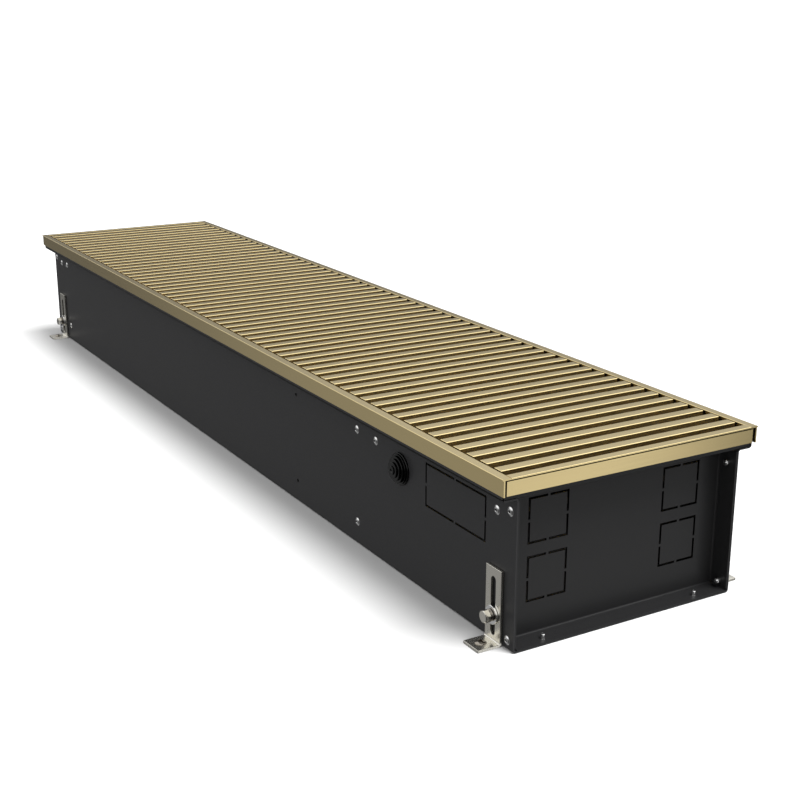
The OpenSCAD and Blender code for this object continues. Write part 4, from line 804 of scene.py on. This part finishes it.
def grommetShape(look):
    # Turned dome of steps on an ellipse: at the angle t, a ring has the radius wide cos t and its top stands
    # out sin t high. Each ring has a lip that is a half circle, and a groove cut in under it.
    angles = np.radians(np.linspace(*look["angles"], look["rings"]))
    radii, tops = look["wide"] * np.cos(angles), look["out"] * np.sin(angles)
    bases = [look["flange"], *tops[:-1]]
    quarter, half = np.radians(np.linspace(0, 90, 5)), np.radians(np.linspace(-80, 90, 9))
    inner, back, edge = look["inner"], look["innerBack"], look["flange"] * 0.5
    profile = [(0, -back), (inner - 0.5, -back), (inner, 0.5 - back), (inner, -look["wall"]),
               (look["neck"], -look["wall"]), (look["neck"], 0), (look["flangeRadius"], 0)]
    profile += [(look["flangeRadius"] - edge + edge * math.cos(a), look["flange"] - edge + edge * math.sin(a))
                for a in quarter]
    for radius, base, top in zip(radii, bases, tops):
        lip = look["lipShare"] * (top - base)
        profile += [(radius - look["groove"], base), (radius - look["groove"], top - 2 * lip)]
        profile += [(radius - lip + lip * math.cos(a), top - lip + lip * math.sin(a)) for a in half]
    profile += [(1.9, tops[-1]), (1.5, tops[-1] - 0.5), (0, tops[-1] - 1.2)]
    return lathe(profile, 64)


low, high = partBox("cable_grommet")
makePiece("cableGrommet",
          aim(grommetShape(grommet), (0, -1, 0), seatOf(low, high, y=low[1] + grommet["solidOut"])),
          grommetRubber, "casing", ["cable_grommet"])
print("grommet made")


# Heat exchanger: copper tubes, bends with brazing sockets, brass connectors with an inner thread, air vent

copperPipe = {"radius": 6.35, "bore": 5.55, "chamfer": 0.1, "socketRadius": 7.2, "socketLength": 3.5,
              "socketOver": 0.8, "socketPlay": 0.05}
connector = {"socketRadius": 8.55, "socketShare": 0.3, "hexShare": 0.32, "flats": 27.0, "collarRadius": 12.0,
             "boreRadius": 9.3, "boreLength": 16.0, "waterway": 5.55, "tubeFit": 6.4, "threadPitch": 1.8,
             "threadDepth": 0.5}
vent = {"footRadius": 3.5, "footHeight": 0.8, "grooveLow": 4, "grooveHigh": 5.6, "cone": 0.4,
        "boreRadius": 2.05, "boreDepth": 8, "edge": 0.6}
ventScrew = {"headRadius": 3.5, "headHeight": 4.0, "slotWidth": 1.2, "slotDepth": 1.4, "edge": 0.35,
             "pinRadius": 2.0, "pinPoint": 1.7, "turn": 0.6}


def turnBend(middle, outward, across, radius, look):
    # Half-turn bend: its path is middle + radius (outward sin a + across cos a) for a from 0 to half a
    # turn, with a belled socket over each end.
    outward, across = np.array(outward, float), np.array(across, float)
    turn = np.linspace(0, math.pi, 25)[:, None]
    path = np.array(middle) + radius * (outward * np.sin(turn) + across * np.cos(turn))
    r, fit = look["socketRadius"], look["radius"] + look["socketPlay"]
    start, end = -look["socketLength"], look["socketOver"]
    bell = lathe([(fit, start), (r - 0.2, start), (r, start + 0.3), (r, end - 0.3), (r - 0.3, end),
                  (fit, end)], 32)
    return join([sweep(path, look["radius"], 28, bore=look["bore"])]
                + [aim(bell, outward, np.array(middle) + side * across * radius) for side in (-1, 1)])


def connectorShape(look, length):
    # Brass connector along Z: solder socket, hexagon with coned corners, collar, then back inside over a
    # zigzag thread and down the waterway to the start.
    socket, hexEnd = length * look["socketShare"], length * (look["socketShare"] + look["hexShare"])
    hexagon, flat, ring = hexRadius(look["flats"]), look["flats"] / 2 * 0.96, look["socketRadius"]
    slope = (hexagon - flat) * math.tan(math.radians(25))
    collar, bore, pitch = look["collarRadius"], look["boreRadius"], look["threadPitch"]
    rings = [(look["tubeFit"], 0), (ring - 0.4, 0), (ring, 0.4), (ring, socket), (flat, socket),
             (hexagon, socket + slope), (hexagon, hexEnd - slope), (flat, hexEnd), (collar - 0.6, hexEnd),
             (collar - 0.6, hexEnd + 0.8), (collar, hexEnd + 1.2), (collar, length - 0.7),
             (collar - 0.7, length), (bore + 1.1, length), (bore + 0.2, length - 1)]
    for i in range(int((look["boreLength"] - 2.5) / pitch)):
        crest = length - 1 - pitch * (i + 0.5)
        rings += [(bore, crest), (bore + look["threadDepth"], crest - pitch / 2)]
    rings += [(bore, length - look["boreLength"]), (look["waterway"], length - look["boreLength"]),
              (look["waterway"], socket), (look["tubeFit"], socket)]
    return lathe(rings, 48)


def ventShape(look, radius, top):
    # Turned air vent: narrow foot, body with a groove low down, and the screw's bore in its top.
    edge, cone, stand, floor = look["edge"], look["cone"], look["footHeight"], top - look["boreDepth"]
    low, high, bore = look["grooveLow"], look["grooveHigh"], look["boreRadius"]
    return lathe([(0, 0), (look["footRadius"], 0), (look["footRadius"], stand), (radius - cone, stand),
                  (radius, stand + cone), (radius, low), (radius - edge, low + cone),
                  (radius - edge, high - cone), (radius, high), (radius, top - edge), (radius - edge, top),
                  (bore, top), (bore, floor), (0, floor)], 40)


def slottedHead(look, pinLength):
    # Screw whose head has a slot right across it: a pin and a turned base, and on the base two half discs.
    # Each half's outline is an arc between the ends of the chord that the slot's side cuts.
    r, high, edge, pin = look["headRadius"], look["headHeight"], look["edge"], look["pinRadius"]
    base = high - look["slotDepth"]
    shapes = [lathe([(0, -pinLength), (0.3, -pinLength), (pin, look["pinPoint"] - pinLength), (pin, 0),
                     (r - edge, 0), (r, edge), (r, base), (0, base)], 40)]
    for turn in (0, math.pi):
        rings = []
        for shrink, height in ((0, base), (0, high - edge), (edge, high)):
            radius, cut = r - shrink, look["slotWidth"] / 2 + shrink * 0.4
            angle = np.linspace(-math.acos(cut / radius), math.acos(cut / radius), 17)
            rings.append(np.stack([radius * np.cos(angle), radius * np.sin(angle), height + 0 * angle], -1))
        pole = rings[0].mean(0)
        caps = [np.tile(pole, (17, 1)), np.tile(pole + (0, 0, high - base), (17, 1))]
        shapes.append(aim(ringStack(caps[:1] + rings + caps[1:]), (0, 0, 1), roll=turn))
    return join(shapes)


tubeShapes = []
for low, high in zip(*solidBoxes("exchanger_tubes")):
    section = bandProfile(copperPipe["bore"], copperPipe["radius"], 0, high[0] - low[0],
                          copperPipe["chamfer"])
    tubeShapes.append(aim(lathe(section, 36), (1, 0, 0), seatOf(low, high, x=low[0])))
makePiece("exchangerTubes", join(tubeShapes), copper, "casing", ["exchanger_tubes"])
bendShapes = [turnBend(seatOf(low, high, x=high[0] - copperPipe["socketLength"]), (-1, 0, 0), (0, 0, 1),
                       (high[2] - low[2]) / 2 - copperPipe["socketRadius"], copperPipe)
              for low, high in zip(*solidBoxes("return_bends"))]
makePiece("returnBends", join(bendShapes), copper, "casing", ["return_bends"])
low, high = partBox("crossover_bend")
crossover = turnBend(seatOf(low, high, x=low[0] + copperPipe["socketLength"]), (1, 0, 0), (0, 1, 0),
                     (high[1] - low[1]) / 2 - copperPipe["socketRadius"], copperPipe)
makePiece("crossoverBend", crossover, copper, "casing", ["crossover_bend"])

for which in ("supply", "return"):
    low, high = partBox(f"connector_{which}")
    makePiece(f"connector{which.title()}",
              aim(connectorShape(connector, high[0] - low[0]), (1, 0, 0), seatOf(low, high, x=low[0])),
              brass, "casing", [f"connector_{which}"], sharp=25)
low, high = partBox("vent_body")
makePiece("ventBody", aim(ventShape(vent, (high[0] - low[0]) / 2, high[2] - low[2]), (0, 0, 1),
                          seatOf(low, high, z=low[2])), brass, "casing", ["vent_body"])
print("exchanger made")

low, high = partBox("vent_screw")
headSeat = high[2] - ventScrew["headHeight"]
makePiece("ventScrew",
          aim(slottedHead(ventScrew, headSeat - low[2]), (0, 0, 1), seatOf(low, high, z=headSeat),
              roll=ventScrew["turn"]), brass, "bleed_screw", ["vent_screw"])


# Fan: shaft, bearings and rubber rings

fan = {"bearingRadius": 11.0, "flangeThick": 2.5, "ringRadius": 14.0, "boss": 10.05, "flangeDepth": 1.5,
       "groove": 0.6, "shaftEdge": 0.5, "shaftPlay": 0.05}

low, high = partBox("fan_shaft")
shaftRadius, shaftLength, edge = (high[2] - low[2]) / 2, high[0] - low[0], fan["shaftEdge"]
shaftPlace = seatOf(low, high, x=low[0])
shaft = lathe([(0, 0), (shaftRadius - edge, 0), (shaftRadius, edge), (shaftRadius, shaftLength - edge),
               (shaftRadius - edge, shaftLength), (0, shaftLength)], 32)
makePiece("fanShaft", aim(shaft, (1, 0, 0), shaftPlace), zinc, "fan_rotor",
          ["fan_shaft"])


def bearingShape(look, flangeRadius, length):
    # Turned bearing housing, Z away from the sheet that it sits in: flange, barrel with a groove, bore.
    r, thick, groove = look["bearingRadius"], look["flangeThick"], look["groove"]
    bore = shaftRadius + look["shaftPlay"]
    return lathe([(bore, 0), (flangeRadius - 0.5, 0), (flangeRadius, 0.5), (flangeRadius, thick - 0.5),
                  (flangeRadius - 0.5, thick), (r + 0.3, thick), (r, thick + 0.3), (r, length * 0.6),
                  (r - groove, length * 0.6 + groove), (r - groove, length * 0.75),
                  (r, length * 0.75 + groove), (r, length - 0.6), (r - 0.6, length), (bore + 0.4, length),
                  (bore, length - 0.4)], 40)


def mountShape(look, wide, length):
    # Turned rubber ring, Z away from the motor: flange with rounded edges, then the ring round the boss.
    narrow, deep, boss = look["ringRadius"], look["flangeDepth"], look["boss"]
    return lathe([(boss, 0), (wide - 0.5, 0), (wide, 0.5), (wide, deep - 0.3), (wide - 0.3, deep),
                  (narrow, deep), (narrow, length - 0.4), (narrow - 0.4, length), (boss, length)], 40)


for end, way in (("near", -1), ("far", 1)):
    low, high = partBox(f"bearing_{end}")
    bearing = bearingShape(fan, (high[2] - low[2]) / 2, high[0] - low[0])
    seat = (high[0] if way < 0 else low[0], *shaftPlace[1:])
    makePiece(f"bearing{end.title()}", aim(bearing, (way, 0, 0), seat), blackPlastic, "casing",
              [f"bearing_{end}"])

motorLow, motorHigh = partBox("fan_motor")
mountShapes = []
for low, high in zip(*solidBoxes("motor_mounts")):
    side = math.copysign(1, (low + high)[0] - (motorLow + motorHigh)[0])
    seat = (low[0] if side > 0 else high[0], *shaftPlace[1:])
    mountShapes.append(aim(mountShape(fan, (high[2] - low[2]) / 2, high[0] - low[0]), (side, 0, 0), seat))
makePiece("motorMounts", join(mountShapes), rubber, "casing", ["motor_mounts"])
print("fan made")


# Wiring: lid screws, cable glands, earth stud and the motor's cable

lidScrew = {"headRadius": 2.8, "headHeight": 1.8, "shankRadius": 1.5, "cross": 3.2, "crossWidth": 0.7,
            "recessShare": 0.2, "rollPerMm": 0.01}
gland = {"hexFlats": 10.3, "nutShare": 0.45, "capRadius": 5.04, "bore": 3.05, "neck": 4.75, "wall": 2.0,
         "dome": 2.2, "rim": 1.5}
stud = {"radius": 2.49, "plateRadius": 4.98, "plateThick": 1.0, "collarRadius": 3.73, "nutLow": 4.98,
        "nutHigh": 8.96, "nutFlats": 7.9, "pitch": 0.8, "threadDepth": 0.22}
cable = {"radius": 3.0, "bend": 10.0, "riserX": 356.2, "y": -104.3, "low": 21.0, "high": 117.0}


def glandShape(look, length):
    # Gland, Z outwards, zero on the box: neck through the wall, hexagon, domed cap and the bore down its
    # middle.
    nut, hexagon = length * look["nutShare"], hexRadius(look["hexFlats"])
    cap, bore = look["capRadius"], look["bore"]
    flat, arch = look["hexFlats"] / 2 * 0.96, np.radians(np.linspace(0, 80, 5))
    cone, shoulder, rim = (hexagon - flat) * 0.5, length - look["dome"], look["rim"]
    rings = [(bore, -look["wall"]), (look["neck"], -look["wall"]), (look["neck"], 0), (flat, 0),
             (hexagon, cone), (hexagon, nut - cone), (flat, nut), (cap, nut), (cap, shoulder)]
    rings += [(cap - rim + rim * math.cos(a), shoulder + look["dome"] * math.sin(a)) for a in arch]
    return lathe(rings + [(bore + 0.2, length), (bore, length - 0.3)], 48)


def studShape(look, height):
    # Earth stud: round plate, collar, hexagon nut, then a zigzag thread to the rounded end.
    r, thread, pitch = look["radius"], look["threadDepth"], look["pitch"]
    flat, low, high = look["nutFlats"] / 2 * 0.97, look["nutLow"], look["nutHigh"]
    plate, thick, collar = look["plateRadius"], look["plateThick"], look["collarRadius"]
    hexagon = hexRadius(look["nutFlats"])
    cone = (hexagon - flat) * 0.5
    rings = [(0, 0), (plate - 0.2, 0), (plate, 0.2), (plate, thick - 0.2), (plate - 0.2, thick),
             (collar, thick), (collar, low), (flat, low), (hexagon, low + cone), (hexagon, high - cone),
             (flat, high), (r, high)]
    for i in range(int((height - high - 0.8) / pitch)):
        rings += [(r - thread, high + pitch * (i + 0.5)), (r, high + pitch * (i + 1))]
    return lathe(rings + [(r - 0.6, height), (0, height)], 48)


screwShapes = []
for low, high in zip(*solidBoxes("lid_screws")):
    seat = seatOf(low, high, z=high[2] - lidScrew["headHeight"])
    screwShapes.append(aim(crossScrew(lidScrew, seat[2] - low[2]), (0, 0, 1), seat,
                           roll=lidScrew["rollPerMm"] * low[0]))
makePiece("lidScrews", join(screwShapes), zinc, "casing", ["lid_screws"])

low, high = partBox("cable_glands")
boxLow, boxHigh = partBox("terminal_box")
glandShapes = [aim(glandShape(gland, length), (way, 0, 0), (wall, cable["y"], cable["low"]))
               for length, way, wall in ((boxLow[0] - low[0], -1, boxLow[0]),
                                         (high[0] - boxHigh[0], 1, boxHigh[0]))]
makePiece("cableGlands", join(glandShapes), blackPlastic, "casing", ["cable_glands"])

low, high = partBox("earth_stud")
makePiece("earthStud", aim(studShape(stud, high[2] - low[2]), (0, 0, 1), seatOf(low, high, z=low[2])),
          brass, "casing", ["earth_stud"], sharp=25)

low, high = partBox("motor_cable")
motorX = (motorLow + motorHigh)[0] / 2
cablePath = bendPath([(high[0], cable["y"], cable["low"]), (cable["riserX"], cable["y"], cable["low"]),
                      (cable["riserX"], cable["y"], cable["high"]), (motorX, cable["y"], cable["high"]),
                      (motorX, shaftPlace[1], cable["high"]), (motorX, shaftPlace[1], motorHigh[2])],
                     cable["bend"])
makePiece("motorCable", sweep(cablePath, cable["radius"], 20), rubber, "casing",
          ["motor_cable"])
print("wiring made")


# Pale floor, soft studio and camera. rearSky and frontSky give the tent's grey by height, from the horizon
# at 0 to straight up at 1, and lowPanels gives it below the horizon by bearing in degrees.

studio = {"floorColor": "#b2b2b2", "floorHalf": 400.0, "strength": 1.4,
          "sunStrength": 6.4, "sunSpread": 28.0, "sunFrom": (0.36, 0.21, 1.0),
          "window": (0.3, 0.62, 0.72), "windowLight": 1.0, "windowEdge": (0.86, 0.95), "sideBlend": 0.12,
          "rearSky": ((0, 0.25), (0.12, 0.16), (0.16, 0.1), (0.22, 0.1), (0.27, 0.3), (0.33, 0.54),
                      (0.42, 0.64), (0.6, 0.8), (1, 1)),
          "frontSky": ((0, 0.1), (0.12, 0.3), (0.2, 0.75), (0.5, 1), (1, 1)),
          "lowPanels": ((-180, 0.08), (-162, 0.1), (-155, 0.25), (-145, 0.28), (-120, 0.16), (-95, 0.05),
                        (-40, 0.03), (-10, 0.2), (33, 0.6), (39, 0.72), (41.5, 0.85), (43.5, 0.6),
                        (45.5, 0.08), (90, 0.28), (180, 0.08))}
view = {"azimuth": 59.53, "elevation": 17.04, "roll": 0.128, "lens": 59.94, "sensor": 36.0,
        "place": (1.3825, -0.6767, 0.5040)}

half = studio["floorHalf"]
floorMesh = bpy.data.meshes.new("studioFloor")
floorMesh.from_pydata([(-half, -half, 0), (half, -half, 0), (half, half, 0), (-half, half, 0)], [],
                      [(0, 1, 2, 3)])
studioFloor = bpy.data.objects.new("studioFloor", floorMesh)
bpy.context.scene.collection.objects.link(studioFloor)
floorPaint, _, floorShader, _ = startMaterial("mattPaperFloor", Roughness=0.95)
floorShader.inputs["Base Color"].default_value = hexColor(studio["floorColor"])
floorShader.inputs["Specular IOR Level"].default_value = 0.0
floorMesh.materials.append(floorPaint)
studioFloor.visible_glossy = False


def greyRamp(tree, factor, stops):
    # Ramp with a grey at each place.
    node = addNode(tree, "ValToRGB", {"Fac": factor})
    ramp = node.color_ramp
    while len(ramp.elements) < len(stops):
        ramp.elements.new(1.0)
    for element, (place, grey) in zip(ramp.elements, stops):
        element.position = place
    for element, (place, grey) in zip(ramp.elements, stops):
        element.color = (grey, grey, grey, 1)
    return node.outputs[0]


def softRoom(look):
    # Light tent as seen from the part. Above the horizon its grey goes by height, with one list of greys for
    # the long wall's side and one for the rear, and a bright window high at the rear. Below the horizon it
    # goes by the bearing, from -180 to 180 degrees: one pale panel stands beyond the connection end. Looked
    # at past the floor's rim, the tent is as white as the floor.
    world = bpy.data.worlds.new("softStudio")
    bpy.context.scene.world = world
    world.use_nodes = True
    tree = world.node_tree
    place = addNode(tree, "TexCoord", {}).outputs["Generated"]
    split = addNode(tree, "SeparateXYZ", {"Vector": place})
    rear = greyRamp(tree, split.outputs["Z"], look["rearSky"])
    front = greyRamp(tree, split.outputs["Z"], look["frontSky"])
    behind = addNode(tree, "MapRange", {"Value": split.outputs["Y"], "From Min": -look["sideBlend"],
                                        "From Max": look["sideBlend"]})
    above = addNode(tree, "Mix", {"Factor": behind.outputs[0], "A": front, "B": rear}, data_type="RGBA")
    toWindow = addNode(tree, "VectorMath", {0: place, 1: look["window"]}, operation="DOT_PRODUCT")
    window = addNode(tree, "MapRange", {"Value": toWindow.outputs["Value"], "From Min": look["windowEdge"][0],
                                        "From Max": look["windowEdge"][1], "To Max": look["windowLight"]})
    lit = addNode(tree, "VectorMath", {0: above.outputs["Result"], 1: window.outputs[0]}, operation="ADD")
    bearing = sumOf(tree, "ARCTAN2", split.outputs["Y"], split.outputs["X"])
    spread = addNode(tree, "MapRange", {"Value": bearing, "From Min": -math.pi, "From Max": math.pi})
    panels = [((angle + 180) / 360, grey) for angle, grey in look["lowPanels"]]
    below = greyRamp(tree, spread.outputs[0], panels)
    under = sumOf(tree, "LESS_THAN", split.outputs["Z"], 0.0)
    whole = addNode(tree, "Mix", {"Factor": under, "A": lit.outputs[0], "B": below}, data_type="RGBA")
    seen = addNode(tree, "LightPath", {}).outputs["Is Camera Ray"]
    shown = addNode(tree, "Mix", {"Factor": seen, "A": whole.outputs["Result"], "B": (1, 1, 1, 1)},
                    data_type="RGBA")
    ground = tree.nodes["Background"]
    tree.links.new(shown.outputs["Result"], ground.inputs["Color"])
    ground.inputs["Strength"].default_value = look["strength"]


softRoom(studio)
sunLight = bpy.data.lights.new("overheadSun", "SUN")
sunLight.energy, sunLight.angle = studio["sunStrength"], math.radians(studio["sunSpread"])
sun = bpy.data.objects.new("overheadSun", sunLight)
sun.rotation_euler = Vector(studio["sunFrom"]).to_track_quat("Z", "Y").to_euler()
sun.visible_glossy = False
bpy.context.scene.collection.objects.link(sun)

azimuth, elevation, roll = (math.radians(view[name]) for name in ("azimuth", "elevation", "roll"))
back = Vector((math.sin(azimuth) * math.cos(elevation), -math.cos(azimuth) * math.cos(elevation),
               math.sin(elevation)))
right = Vector((math.cos(azimuth), math.sin(azimuth), 0))
up = back.cross(right)
cameraData = bpy.data.cameras.new("studioCamera")
cameraData.lens, cameraData.sensor_width = view["lens"], view["sensor"]
camera = bpy.data.objects.new("studioCamera", cameraData)
axes = Matrix((math.cos(roll) * right + math.sin(roll) * up,
               math.cos(roll) * up - math.sin(roll) * right, back))
axes = axes.transposed().to_4x4()
axes.translation = view["place"]
camera.matrix_world = axes
bpy.context.scene.collection.objects.link(camera)
bpy.context.scene.camera = camera
bpy.context.scene.view_settings.view_transform = "Standard"
print("studio made")
